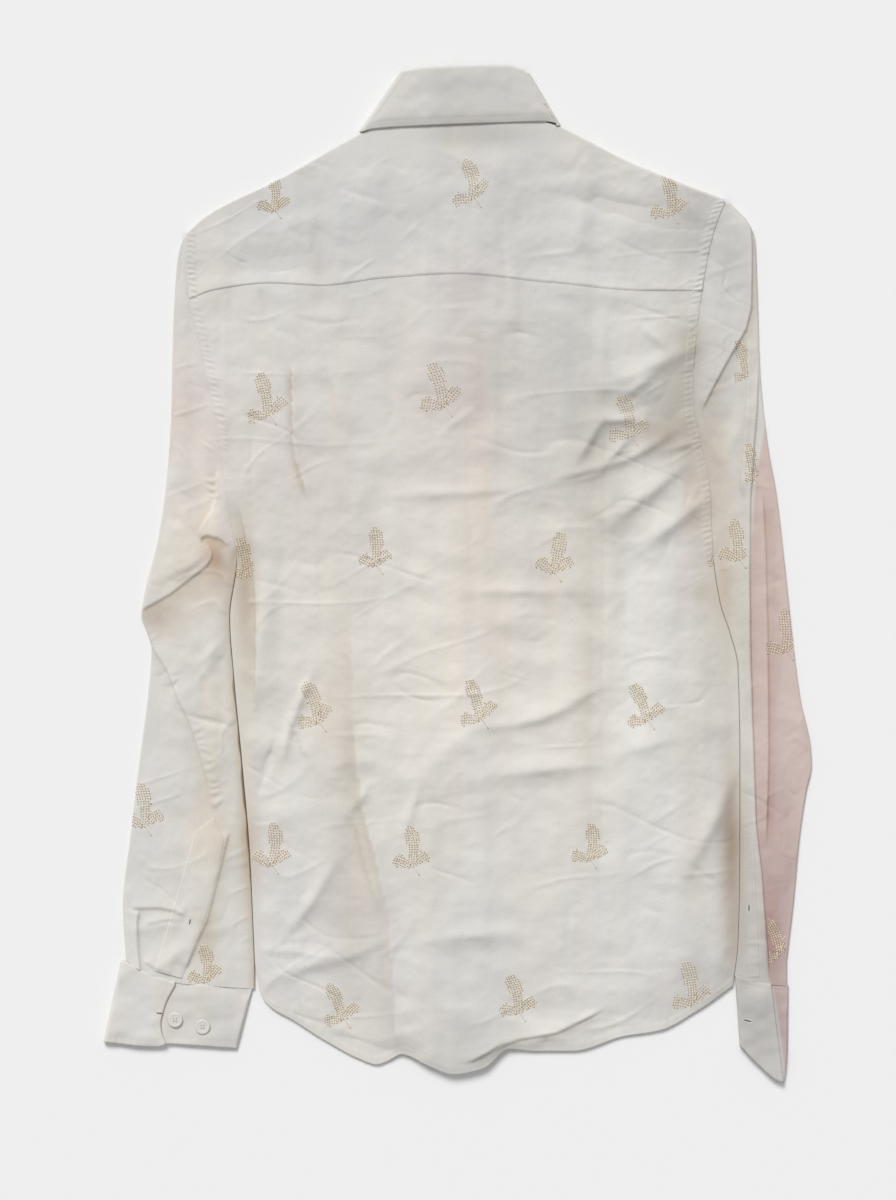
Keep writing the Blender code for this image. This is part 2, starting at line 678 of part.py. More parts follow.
STAND_INSET = 3.4
STAND_DROP = 3.0
STAND_CLEARANCE = 3.0
STAND_FRONT_CELLS = 7
STAND_BACK_CELLS = 6
STAND_ROWS = 2
STAND_OVERLAP = 9.0
STAND_NECK_END_Y = 352.0


def collar_stand(shirt):
    """The band inside the leaf, its ends crossed at the front over the collar button."""
    past_end = STAND_OVERLAP - LEFT_LEAF["end"][0]
    columns = collar_columns(
        STAND_FRONT_CELLS, STAND_BACK_CELLS, STAND_INSET, COLLAR_ZONE_LAYER, STAND_BACK_LAYER, past_end
    )
    first_back = STAND_FRONT_CELLS + COLLAR_TURN_CELLS
    last_back = first_back + STAND_BACK_CELLS

    def neck_point(i, top):
        """Point on the neck seam under a column's top point."""
        if first_back <= i <= last_back:
            x = top.x * 1.18
            return Vector((x, curve(SHOULDER, x) + 2 * SEAM, top.z))
        sign = -1 if i < first_back else 1
        from_end = min(i, len(columns) - 1 - i)
        share = min(max(from_end - 1, 0) / (STAND_FRONT_CELLS - 1), 1.0)
        y = blend(NECKLINE[0].at + STAND_CLEARANCE, STAND_NECK_END_Y, share**0.8)
        x = curve(NECKLINE, y) - STAND_CLEARANCE if from_end else -STAND_OVERLAP
        return Vector((sign * x, y, top.z))

    def place(i, j):
        top, _ = columns[i]
        neck = neck_point(i, top)
        upper = top - (top - neck).normalized() * STAND_DROP
        point = neck.lerp(upper, j / STAND_ROWS)
        crossed = 1 - eased((min(i, len(columns) - 1 - i) - 1) / 2)
        crossed_layer = PLACKET_LAYER if i < first_back else BAND_LAYER
        point.z = blend(point.z, crossed_layer, crossed)
        return point

    cloth_piece("collar_stand", sheet(len(columns) - 1, STAND_ROWS, place), shirt)


def wound_path(stations, lifts, steps):
    """Points of a flattened spiral: straight layers between stations, half-round turns between layers."""
    points = []
    for k, (start, end) in enumerate(zip(stations[:-1], stations[1:])):
        count = steps[k]
        way = 1 if end > start else -1
        inset_start = abs(lifts[k] - lifts[k - 1]) / 2 if k else 0.0
        inset_end = abs(lifts[k + 1] - lifts[k]) / 2 if k + 1 < len(lifts) else 0.0
        for step in range(count + 1):
            t = step / count
            points.append((blend(start + way * inset_start, end - way * inset_end, t), lifts[k]))
        if k + 1 < len(lifts):
            radius = inset_end
            middle = (lifts[k] + lifts[k + 1]) / 2
            centre = end - way * radius
            for step in range(1, TURN_CELLS):
                angle = pi * step / TURN_CELLS
                points.append((centre + way * radius * sin(angle), middle + (lifts[k] - middle) * cos(angle)))
    return points


CuffEdge = namedtuple("CuffEdge", "top_x low_x low_y")
# Edges of the cuffs in winding order: where each meets the seam, and its lower end
LEFT_CUFF = [
    CuffEdge(-226.0, -238.5, -376.0),
    CuffEdge(-269.5, -283.4, -374.5),
    CuffEdge(-165.0, -177.5, -379.5),
    CuffEdge(-233.0, -244.0, -378.0),
]
RIGHT_CUFF = [
    CuffEdge(250.5, 260.5, -406.5),
    CuffEdge(222.2, 226.0, -377.0),
    CuffEdge(264.2, 263.6, -380.0),
    CuffEdge(230.0, 240.0, -392.0),
]
CUFF_ROWS = 4


def cuff(name, shirt, edges, seam, steps):
    """A cuff wound flat: its outer leaf on top, then the layer on the surface, then its other end."""
    low_layer = CUFF_CLOTH / 2
    step = CUFF_CLOTH + 2 * SEAM
    lifts = [low_layer + 2 * step, low_layer, low_layer + step]
    top_path = wound_path([edge.top_x for edge in edges], lifts, steps)
    low_path = wound_path([edge.low_x for edge in edges], lifts, steps)
    low_edge = [Edge(edge.low_x, edge.low_y) for edge in edges]

    def place(i, j):
        low_x, z = low_path[i]
        top_x, _ = top_path[i]
        x = blend(low_x, top_x, j / CUFF_ROWS)
        y = blend(curve(low_edge, low_x), curve(seam, top_x) - CUFF_SEAM_GAP, j / CUFF_ROWS)
        return x, y, z

    cloth_piece(name, sheet(len(top_path) - 1, CUFF_ROWS, place), shirt, CUFF_CLOTH)
    return low_layer + step + CUFF_CLOTH / 2 + SEAM


def button(name, shirt, x, y, z, diameter=BUTTON_DIAMETER):
    """A dished shirt button: a turned profile with a raised rim."""
    radius = diameter / 2
    height = BUTTON_HEIGHT
    profile = [(0, height - 0.5), (radius * 0.55, height - 0.5), (radius * 0.72, height)]
    profile += [(radius * 0.93, height), (radius, height * 0.7), (radius, height * 0.3), (radius * 0.86, 0), (0, 0)]
    mesh = bmesh.new()
    verts = [mesh.verts.new(Vector((r, 0, h)) * MM) for r, h in profile]
    for start, end in zip(verts[:-1], verts[1:]):
        mesh.edges.new((start, end))
    made = add_object(name, mesh, shirt["collection"], shirt["button"])
    screw = made.modifiers.new("Turn", "SCREW")
    screw.steps = BUTTON_SIDES
    screw.render_steps = BUTTON_SIDES
    screw.use_merge_vertices = True
    screw.merge_threshold = 1e-5
    made.location = (Vector((x, y, z)) - CENTRE) * MM
    return made


def main():
    clear_scene()
    collection = bpy.data.collections.new("Embroidered linen shirt")
    cutters = bpy.data.collections.new("Cutters")
    bpy.context.scene.collection.children.link(collection)
    bpy.context.scene.collection.children.link(cutters)
    shirt = {
        "collection": collection,
        "linen": material("Linen", LINEN, 0.9),
        "button": material("Button", PALE_BUTTON, 0.35),
    }
    back_panel(shirt)
    yoke(shirt)
    front("left_front", shirt, LEFT_SIDE, -1, -BAND_WIDTH / 2 - SEAM, PLACKET_LAYER)
    front("right_front", shirt, RIGHT_SIDE, 1, -BAND_WIDTH / 2, BAND_LAYER)
    front_placket(shirt)
    left = sleeve(
        "left_sleeve", shirt, LEFT_SIDE, LEFT_SLEEVE, LEFT_CUFF_SEAM, LEFT_SLEEVE_FOLDS, -1, LEFT_PLACKET
    )
    right = sleeve(
        "right_sleeve", shirt, RIGHT_SIDE, RIGHT_SLEEVE, RIGHT_CUFF_SEAM, RIGHT_SLEEVE_FOLDS, 1, RIGHT_PLACKET
    )
    bpy.context.view_layer.update()
    sleeve_placket("left_sleeve_placket", shirt, left, LEFT_PLACKET)
    sleeve_placket("right_sleeve_placket", shirt, right, RIGHT_PLACKET)
    collar_leaf(shirt)
    collar_stand(shirt)
    button_seat = cuff("left_cuff", shirt, LEFT_CUFF, LEFT_CUFF_SEAM, [3, 6, 4])
    cuff("right_cuff", shirt, RIGHT_CUFF, RIGHT_CUFF_SEAM, [3, 3, 3])
    for index in range(FRONT_BUTTONS):
        button(f"front_button_{index + 1}", shirt, 0, FIRST_BUTTON_Y - index * BUTTON_PITCH, 0)
    button("collar_button", shirt, 0, COLLAR_BUTTON_Y, 0)
    button("left_cuff_button_1", shirt, -226.4, -356.5, button_seat, CUFF_BUTTON_DIAMETER)
    button("left_cuff_button_2", shirt, -204.4, -362.0, button_seat, CUFF_BUTTON_DIAMETER)


main()
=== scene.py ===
"""Looks of the embroidered linen shirt, laid flat with its back up.

Sizes and tables are in millimetres on the laid-out shirt, and become metres in the frame.
"""

from collections import namedtuple

import bpy
import numpy as np
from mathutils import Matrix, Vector
from mathutils.bvhtree import BVHTree


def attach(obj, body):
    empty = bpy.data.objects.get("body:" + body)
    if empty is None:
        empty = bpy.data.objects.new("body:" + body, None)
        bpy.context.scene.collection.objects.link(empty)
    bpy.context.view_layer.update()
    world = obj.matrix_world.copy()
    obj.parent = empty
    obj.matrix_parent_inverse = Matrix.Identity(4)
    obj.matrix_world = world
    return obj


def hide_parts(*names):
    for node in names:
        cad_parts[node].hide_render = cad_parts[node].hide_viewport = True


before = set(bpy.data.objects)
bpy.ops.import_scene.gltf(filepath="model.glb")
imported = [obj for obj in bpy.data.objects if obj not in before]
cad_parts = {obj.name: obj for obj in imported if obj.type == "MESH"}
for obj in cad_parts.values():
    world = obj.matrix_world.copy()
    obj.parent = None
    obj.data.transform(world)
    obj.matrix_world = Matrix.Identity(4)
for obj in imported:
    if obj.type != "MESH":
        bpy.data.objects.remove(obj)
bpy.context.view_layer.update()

MM = 0.001
CENTRE = (-0.05, 0.4)

# Layers, as in the solids
CLOTH = 1.1
TOP_LAYER = 1.95
TURN_LAYER = 2.3
FLOOR_LAYER = 0.55
PUFF = 1.5
PUFF_REACH = 24.0
FOLD_REACH = 12.0
COVER_OVER_BAND = 5.6
COVER_OVER_COLLAR = 3.85
BAND_HALF = 17.0
BAND_SLOPE = 42.0
COLLAR_HALF = 92.0
COLLAR_Y = 208.0
COLLAR_SLOPE = 22.0
ARMPIT_Y = 11.0

# Sewing
LEFT_FELL_END = 95
HEM_WIDTH = 7.0
FELL_WIDTH = 7.5
PUCKER_PITCH = 4.6
STITCH_PITCH = 3.0
STITCH_LENGTH = 2.1
THREAD = 0.42
STITCH_RISE = 0.14

Fold = namedtuple("Fold", "x0 y0 x1 y1 bow left right height")
Step = namedtuple("Step", "path high reach drop lip fade shade spread")
Tint = namedtuple("Tint", "x y wide tall light warm pink")
Motif = namedtuple("Motif", "x y tilt size left right", defaults=(-400, 400))
CuffEdge = namedtuple("CuffEdge", "top_x low_x low_y")
Strip = namedtuple("Strip", "top shoulder low width lift bulge")


def rows_of(kind, rows):
    return [kind(*row) for row in rows]


# Outlines: each row is a place along the line and the value there, sides by y, seams and hem by x
LEFT_SIDE = [
    (274, -217.0), (246, -217.0), (221, -215.0), (185, -206.5), (154, -200.0), (124, -193.5),
    (98, -190.0), (45, -182.0), (11, -177.0), (-34, -182.5), (-85, -179.0), (-148, -173.0),
    (-225, -166.5), (-311, -162.6),
]
RIGHT_SIDE = [
    (300, 214.5), (281, 207.0), (257, 200.5), (214, 193.6), (164, 188.8), (137, 188.4), (115, 192.2),
    (89, 198.4), (68, 201.6), (17, 204.0), (-24, 210.0), (-45, 217.0), (-75, 224.0), (-150, 225.5),
    (-243, 225.3), (-295, 224.0), (-329, 220.0),
]
YOKE_SEAM = [
    (-216, 220.0), (-195, 227.5), (-150, 233.0), (-109, 231.0), (-60, 237.0), (0, 240.0), (70, 234.0),
    (155, 227.0), (199, 227.0),
]
SHOULDER = [
    (-217, 274.0), (-202, 287.0), (-143, 317.0), (-102, 340.0), (-70, 357.0), (-58, 362.0), (0, 363.5),
    (62, 365.0), (75, 361.0), (114, 342.5), (140, 329.5), (169, 317.5), (196, 307.0), (214.5, 300.5),
]
HEM = [
    (-162.6, -311.0), (-159, -332.0), (-155, -341.0), (-131, -357.0), (-106, -373.0), (-80, -387.0),
    (-65, -392.0), (-56, -389.0), (-45, -383.5), (-24, -392.0), (-4, -399.0), (20, -394.5),
    (41, -379.0), (61, -381.0), (92, -381.0), (132, -369.5), (162, -364.5), (193, -348.0),
    (220, -329.0),
]
LEFT_SLEEVE = [
    (269, -220.5), (257, -224.0), (232, -226.5), (188, -228.5), (124, -230.0), (72, -234.0),
    (30, -240.0), (-20, -252.0), (-34, -253.6), (-44, -250.0), (-60, -245.5), (-93, -248.0),
    (-148, -255.0), (-206, -262.0), (-266, -268.5), (-309, -266.0),
]
RIGHT_SLEEVE = [
    (297, 219.0), (283, 232.0), (269, 238.0), (236, 239.5), (163, 242.0), (106, 248.0), (66, 255.0),
    (6, 262.0), (-59, 269.0), (-97, 274.0), (-140, 282.8), (-152, 283.4), (-174, 279.0), (-208, 274.0),
    (-261, 269.0), (-309, 263.5),
]
LEFT_CUFF_SEAM = [(-266, -309.5), (-253, -317.0), (-221, -327.0), (-196, -329.0), (-166, -331.0)]
RIGHT_CUFF_SEAM = [(221, -320.5), (243, -327.0), (264, -329.0)]

# Main folds: line, bow of its middle, falloff on each side, height
FOLDS = rows_of(Fold, [
    (-108, 205, -85, 60, 0, 26, 15, 2.2), (-86, 90, -52, -370, 6, 30, 13, 3.0),
    (122, 220, 113, -290, 3, 22, 26, 3.0), (150, 60, 148, -180, 0, 14, 14, 0.9),
    (-28, -120, -20, -380, 0, 14, 14, 1.0), (24, 200, 20, -60, 0, 12, 10, 1.3),
    (-6, 190, -6, 20, 0, 10, 12, 0.9), (96, 92, 115, 124, 0, 5, 3.5, 3.2),
    (113, 123, 142, 124, 0, 4, 4, 2.6), (119, 91, 135, 107, 0, 4, 3, 2.4),
    (132, 142, 156, 160, 0, 5, 4, 2.0), (80, 77, 120, 88, 0, 5, 4, 2.0),
    (116, 86, 168, 112, 3, 5, 4, 2.4), (147, 198, 167, 181, 0, 4, 3, 1.2),
    (115, 196, 111, 136, 0, 5, 3, 1.6), (126, 44, 178, 86, 0, 9, 6, 3.6),
    (150, 24, 196, 60, 0, 9, 6, 3.0), (104, 56, 132, 30, 0, 8, 6, 1.6),
    (168, 100, 190, 106, 0, 4, 3, 1.4), (160, 128, 190, 150, 0, 7, 6, -1.6),
    (-46, 63, 50, 68, 0, 6, 4, 1.4), (14, -13, 82, -14, 0, 5, 4, 1.1),
    (18, -122, 108, -92, 8, 8, 5, 2.7), (-36, -164, 20, -116, 0, 8, 8, 1.5),
    (32, -160, 106, -152, 0, 8, 5, 1.8), (130, -142, 178, -129, 0, 8, 6, 1.7),
    (184, -236, 222, -162, 0, 8, 7, 3.4), (-152, -326, -84, -296, 0, 6, 5, 1.5),
    (-30, -293, 44, -286, 0, 7, 6, 1.4), (4, -386, 118, -347, 6, 6, 6, 1.8),
    (-150, 12, -160, -90, 0, 8, 6, 1.5), (-140, 150, -132, 70, -4, 7, 5, 0.8),
    (122, 152, 194, 184, 0, 6, 6, 2.0), (-162, -299, -122, -303, 0, 5, 4, 1.2),
    (-122, -314, -60, -293, 3, 5, 4, 1.3), (-136, -286, -99, -231, 2, 6, 4, 2.0),
    (-118, -82, -139, -142, 3, 3.5, 3, 2.4), (-42, -201, -33, -172, 1, 3, 3, 2.0),
    (-86, -190, -73, -171, 0, 4, 3, 2.0), (-80, -178, -55, -268, -2, 4, 4, 1.4),
    (-156, -164, -149, -141, 0, 1.8, 1.8, -2.4), (84, 303, 204, 275, 0, 7, 5, -2.3),
    (-21, 344, 1, 332, 0, 3, 3, 0.9), (-26, 268, -26, 196, 0, 3, 3, 0.6),
    (-180, 262, -96, 294, 0, 7, 9, 0.8), (60, 318, 128, 326, 0, 6, 6, -0.8),
])
LEFT_SLEEVE_FOLDS = rows_of(Fold, [
    (-211, -46, -205, -110, 0, 4, 6, 1.5), (-207, -72, -190, -54, 0, 4, 4, 1.2),
    (-236, 54, -221, 40, 0, 4, 4, -1.0), (-232, 0, -203, 17, 2, 7, 4, 1.3),
    (-205, 110, -200, 60, 0, 9, 7, 1.2), (-238, 40, -212, 4, 0, 9, 10, 0.9),
    (-232, 70, -208, 52, 0, 5, 5, -0.7), (-196, -20, -199, -120, 0, 9, 9, 0.8),
    (-210, -48, -204, -104, 0, 5, 5, -1.3), (-194, -66, -210, -88, 0, 4, 4, 1.0),
    (-214, -114, -192, -119, 0, 3, 3, -1.1), (-236, -92, -222, -88, 0, 3, 3, -0.7),
    (-262, -284, -226, -279, 0, 4, 5, 0.9), (-240, -316, -216, -296, 0, 5, 5, 1.1),
    (-206, -286, -176, -277, 2, 5, 5, 0.8),
])
RIGHT_SLEEVE_FOLDS = rows_of(Fold, [
    (214, 96, 232, 130, 0, 6, 6, 1.1), (199, 108, 214, 86, 0, 5, 4, 0.9),
    (207, 20, 222, -8, 0, 5, 5, 1.4), (214, 2, 226, -40, 0, 4, 4, 1.0),
    (230, 230, 226, 190, 0, 7, 9, 0.8), (247, 90, 252, -60, 0, 5, 5, 0.9),
    (252, -100, 262, -250, 0, 7, 8, 0.7),
])
# The felled seam under the left arm, from the placket's point up to the elbow
UNDERARM = [
    (-196, -190), (-200, -166), (-206, -145), (-214.4, -118.4), (-223.4, -100.4), (-232.4, -76.4),
    (-245.4, -56.4), (-252, -42),
]
# The felled seam's lower end, on the sleeve just beside the body
ARMPIT = [(-197, 112), (-194.5, 90), (-191, 60), (-186, 38)]
# Edges where one layer of a fold stands over the next: the right-hand side of each line is the upper one;
# shade and spread are the percent and reach of the painted shade on the lower side
BODY_STEPS = [
    Step(
        [(-120, 60), (-129.5, 93), (-132, 113.6), (-133, 143.6), (-132.4, 170)],
        1.3, 7, 3.2, 0.1, 10, 22, 4.5,
    ),
    Step([(-90, 98), (-100, 150), (-111, 198)], 0.8, 14, 5, 0.0, 40, 5, 8),
    Step([(113, -290), (116, -60), (119, 205)], 1.5, 26, 9, 0.0, 60, 7, 15),
    Step([(-84, -130), (-86, 0), (-87, 90)], 1.2, 26, 8, 0.0, 40, 5, 15),
    Step(
        [(-48, -386), (-52, -330), (-55.5, -270), (-66, -225), (-78, -180), (-84, -110)],
        1.8, 24, 5, 0.1, 22, 11, 14,
    ),
    Step([(-62, -272), (-74, -232), (-84, -190)], 0.8, 7, 2.4, 0.1, 16, 7, 4),
    Step([(14, -60), (8, 60), (8, 196)], 0.8, 20, 8, 0.0, 60, 4, 14),
    Step(
        [(-163, -112), (-161.6, -68), (-161.6, -20), (-164, 3.6), (-168.8, 28), (-176, 62)],
        2.4, 30, 2.0, 0.1, 26, 13, 13,
    ),
    Step([(118, -347), (79, -366), (50, -371), (30, -378), (3, -392)], 1.6, 12, 1.6, 0.2, 14, 12, 5),
    Step([(-121, -149), (-133, -118), (-123, -93)], 1.0, 9, 1.2, 0.3, 9, 6, 4),
]
# The left sleeve's steps; shade and spread give the painted shade on their lower sides
LEFT_STEPS = [
    Step(
        [
            (-183.0, 22.2), (-186.4, 26.3), (-191.7, 29.6), (-201.1, 31.6), (-205.7, 29.6),
            (-205.7, 25.6), (-199.7, 22.0), (-197.1, 17.6), (-197.7, 12.9), (-201.1, 7.6),
            (-213.1, -1.7), (-230.4, -15.1), (-251.7, -27.1), (-258.0, -31.0),
        ],
        1.0, 26, 1.7, 0.3, 3, 20, 12,
    ),
    Step(
        [(-208, 26), (-207.1, 34.3), (-203.7, 40.9), (-197.1, 50.3), (-193.7, 60.9), (-192, 84)],
        1.7, 14, 1.4, 0.1, 8, 13, 7,
    ),
    Step(
        [(-217, -273.5), (-228, -268.6), (-240, -266.5), (-262.5, -267.0)],
        1.2, 9, 1.3, 0.2, 5, 11, 3,
    ),
    Step([(-226, -275.5), (-238, -277.0), (-251, -279.5)], 0.8, 5, 1.2, 0.2, 5, 5, 3),
    Step([(-255.5, -268), (-257.0, -280), (-256.2, -300), (-254.0, -321)], 1.5, 8, 1.1, 0.3, 4, 18, 3),
    Step([(-228, -320), (-244, -314), (-252, -308)], 0.9, 6, 1.6, 0.2, 5, 4, 3),
    Step(UNDERARM, 1.1, 12, 1.6, 0.2, 9, 7, 9),
    Step([(-183.5, -205), (-190.5, -235), (-201, -276), (-218.5, -316)], 1.3, 12, 1.2, 0.1, 6, 13, 4),
]
# The right sleeve's steps; shade and spread give the painted shade on their lower sides
RIGHT_STEPS = [
    Step(
        [
            (231, 292), (233.4, 284), (234.9, 262), (234.7, 243), (234.1, 213), (229.8, 196),
            (217.9, 176), (205, 152.5), (193.1, 128.8),
        ],
        1.6, 20, 1.9, 0.2, 12, 14, 7,
    ),
    Step(
        [(226.5, 60), (226.5, 80), (228.7, 101), (231.0, 140), (231.5, 170), (233, 190)],
        1.5, 6, 1.3, 0.2, 10, 8, 4,
    ),
    Step(
        [
            (240.5, 170), (239.0, 135), (236.0, 100), (233.4, 60), (233.0, 0), (233.5, -52),
            (236, -139), (238, -200), (243, -243), (245.5, -278), (249, -324),
        ],
        1.9, 9, 1.4, 0.25, 20, 0, 4,
    ),
    Step([(243, 70), (245.5, 20), (247.5, -60), (248, -140), (246, -220)], 1.0, 8, 2.2, 0.2, 20, 13, 7),
]

# Cloth colours, linear: a base, and soft patches of tone in percent (lighter, warmer, pinker); the patches
# are partly uneven tone and partly painted shade and light, as under the collar and flaps and along folds
LINEN = (0.734, 0.711, 0.668)
TONE_AND_SHADE_PATCHES = rows_of(Tint, [
    (10, 392, 80, 26, -15, -1, 0), (25, 352, 50, 12, -14, 0, 0), (40, 312, 90, 24, -8, 0, 0),
    (-120, 290, 70, 40, -5, -1, 0), (192, 276, 32, 40, -14, 0, 0), (-108, 238, 14, 20, -7, 1, 1),
    (5, 236, 24, 24, -7, 1, 2), (16, 150, 9, 56, -8, 4, 1.5), (18, 60, 8, 60, -5, 4, 1),
    (7, 10, 6, 50, -3, 3, 1), (-10, 140, 60, 90, -3, 2, 2), (176, 132, 24, 44, -30, 3, 0),
    (186, 182, 14, 24, -18, 2, 0), (112, 110, 36, 50, -16, 1, 0), (82, 180, 40, 50, -6, 0, 0),
    (-128, 100, 30, 60, -5, 2, 2), (50, -50, 70, 100, 1, 3, 0.4), (-30, -60, 50, 120, 1, 2, 0.3),
    (-90, -150, 17, 170, -8, 3, 1), (-64, -120, 12, 190, 4, 0, 0), (142, -40, 24, 160, 8, -1, -1),
    (101, -60, 13, 150, -7, 2, 0), (202, -110, 20, 150, -7, 1, 0), (218, -215, 9, 62, -30, 8, 3),
    (212, -8, 8, 40, -12, 5, 2), (-90, -270, 28, 60, -4, 2, 1), (0, -320, 70, 50, -5, 0, 0),
    (-50, -360, 40, 24, -8, 1, 1), (200, -330, 30, 30, -12, 0, 0), (-171, -4, 9, 46, -25, 6, 2),
    (-200, -292, 8, 20, -14, 4, 1), (-190, -215, 7, 22, -8, 6, 2), (-170, -150, 9, 80, -5, 3, 1),
    (-167, -225, 9, 40, -12, 5, 1), (-204, 130, 30, 80, -2, 4, 3), (-205, 30, 22, 40, -1, 5, 2),
    (-238, -38, 17, 15, -20, 5, 2), (-191, 8, 9, 20, -20, 7, 2), (-205, -10, 24, 30, -4, 5, 2),
    (-240, -190, 34, 90, -4, -1, 0), (-208, -210, 16, 30, -2, 5, 1), (-190, -270, 10, 50, -6, 2, 0),
    (216, 150, 22, 80, -7, -1, 0), (232, -120, 6, 120, -7, 0, 0), (256, -240, 26, 80, -11, 1, 1),
    (242, -370, 34, 46, -24, -1, -1), (0, 280, 240, 60, -5, -2.2, 0), (60, 150, 120, 60, -4, -0.5, 0),
    (-50, -60, 130, 60, 3, 0, 0), (30, -80, 100, 120, 5, 0, 1.0), (-110, 0, 30, 120, 3, 0, 0.5),
    (155, 100, 26, 24, -7, 0, 0.5), (133, 38, 20, 18, -8, 0, 0.5), (190, 55, 12, 34, -7, 1, 0.5),
    (75, 70, 16, 13, -7, 0, 0.3), (152, 268, 22, 14, -10, 0, 0), (130, 216, 18, 26, -6, 0, 0),
    (72, -10, 20, 18, -9, 0, 0.4), (-200, 165, 16, 40, 2, -5, 0), (-195, -100, 14, 30, 0, 4, 1),
    (-110, -110, 30, 40, 0, 3, 0.5), (195, -15, 12, 20, -8, 4, 1), (-198, 66, 9, 14, 9, 0, 0),
    (188, -88, 12, 16, 7, 0, 0), (160, -372, 34, 16, 7, 0, 0), (-82, -372, 12, 12, 7, 0, 0),
    (-231, -350, 6, 20, -5, 5, 2), (-170, -212, 10, 20, -7, 3, 0), (222, -212, 10, 20, -8, 0, 0),
    (250, -292, 8, 22, -9, 0, 0), (10, -368, 12, 14, -9, 0, 0), (-80, -300, 24, 40, -4, -1, 0.4),
    (70, -330, 16, 14, -7, 0, 0), (-10, -330, 90, 60, 3, -1, 0), (228, -10, 28, 120, -8, 3, 0),
    (235, -290, 22, 90, -12, 1, 1), (205, 90, 13, 60, -11, 5, 2), (222, -250, 12, 70, -8, 2, 0),
    (10, -375, 30, 20, -9, 0, 0), (-196, -170, 14, 40, -7, 5, 1), (-80, -290, 20, 30, -7, 0, 0),
    (-204, -290, 10, 24, -7, 2, 0), (135, 50, 20, 26, -11, 1, 0), (-197, 52, 8, 20, 13, 0, -1),
    (-200, 22, 10, 10, -5, 4, 1), (-165, -30, 20, 90, -2, 2, 0), (-115, 0, 24, 80, -2, 3, 0),
    (160, -280, 60, 90, 2, -2.5, 0), (-130, -290, 40, 60, -1, -2.5, 0), (100, 40, 40, 60, -5, 1, 0),
    (160, 110, 16, 14, -9, 4, 2), (130, 150, 14, 14, -8, 0, 0), (190, 190, 14, 16, -10, 2, 0),
    (190, 60, 14, 50, -8, 4, 2), (160, -345, 20, 20, -10, 0, 0), (188, -310, 14, 40, -11, 0, 0),
    (188, -230, 10, 40, -8, 3, 0), (222, -290, 10, 30, -8, 2, 0), (252, -290, 10, 30, -13, 1, 1),
    (-232, 70, 14, 20, 6, -2, 0), (-232, -90, 12, 20, 6, -1, 0), (10, 350, 24, 20, -5, 1, 0),
    (188, 280, 16, 26, -8, 0, 0), (222, 250, 12, 30, -9, -1, 0), (217, 90, 9, 34, 7, 1, 0),
    (222, 130, 6, 24, 3, 1, 0), (-225, 150, 20, 60, 1, 1, 0.5), (-217, 134, 11, 30, -4, 2, 1.5),
    (-195, -362, 22, 20, -9, -1, 0), (-252, -356, 16, 20, 3, -2, 0), (140, 60, 16, 200, 4, 0, 0),
])


def curve(rows, at):
    """Smooth monotone curve through a table's rows."""
    keys, values = np.array(sorted(rows), float).T
    steps = np.diff(keys)
    slopes = np.diff(values) / steps
    before, after = slopes[:-1], slopes[1:]
    same_way = before * after > 0
    weight_before = 2 * steps[1:] + steps[:-1]
    weight_after = steps[1:] + 2 * steps[:-1]
    safe_before = np.where(same_way, before, 1)
    safe_after = np.where(same_way, after, 1)
    mean = (weight_before + weight_after) / (weight_before / safe_before + weight_after / safe_after)
    tangents = np.concatenate([slopes[:1], np.where(same_way, mean, 0), slopes[-1:]])
    at = np.clip(at, keys[0], keys[-1])
    cell = np.clip(np.searchsorted(keys, at, side="right") - 1, 0, len(steps) - 1)
    span = steps[cell]
    t = (at - keys[cell]) / span
    start = values[cell] * (1 + 2 * t) * (1 - t) ** 2 + tangents[cell] * span * t * (1 - t) ** 2
    end = values[cell + 1] * t * t * (3 - 2 * t) - tangents[cell + 1] * span * t * t * (1 - t)
    return start + end


def blend(start, end, t):
    return start + (end - start) * t


def eased(t):
    t = np.clip(t, 0.0, 1.0)
    return t * t * (3 - 2 * t)


def rounded(t):
    return np.sin(np.clip(t, 0.0, 1.0) * np.pi / 2)


def soft_noise(x, y, cell_x, cell_y, seed, turn=0.0):
    """Smooth random relief from -1 to 1, stretched to cells of the given size and turned by degrees."""
    angle = np.radians(turn)
    u = (x * np.cos(angle) + y * np.sin(angle)) / cell_x
    v = (y * np.cos(angle) - x * np.sin(angle)) / cell_y
    grid = np.random.default_rng(seed).uniform(-1, 1, (256, 256))
    i, j = np.floor(u).astype(int), np.floor(v).astype(int)
    fu, fv = eased(u - i), eased(v - j)
    low = blend(grid[i % 256, j % 256], grid[(i + 1) % 256, j % 256], fu)
    high = blend(grid[i % 256, (j + 1) % 256], grid[(i + 1) % 256, (j + 1) % 256], fu)
    return blend(low, high, fv)


FOLD_SCALE = 1.6
FOLD_END = 9.0
LIP_REACH = 2.2
WRINKLE_SCALE = 1.22


def fold_height(folds, x, y):
    """Sum of the folds' ridges and troughs: peaked along the line, soft to each side."""
    total = np.zeros_like(x)
    for fold in folds:
        along_x, along_y = fold.x1 - fold.x0, fold.y1 - fold.y0
        length = np.hypot(along_x, along_y)
        t = ((x - fold.x0) * along_x + (y - fold.y0) * along_y) / length**2
        t_in = np.clip(t, 0.0, 1.0)
        side = ((x - fold.x0) * along_y - (y - fold.y0) * along_x) / length
        side = side - fold.bow * np.sin(t_in * np.pi)
        width = np.where(side > 0, fold.right, fold.left)
        past_end = np.abs(t - t_in) * length
        fade = 0.35 + 0.65 * np.sin(t_in * np.pi)
        ridge = fold.height * fade / np.cosh(1.3 * side / width)
        total += FOLD_SCALE * ridge * np.exp(-((past_end / FOLD_END) ** 2))
    return total


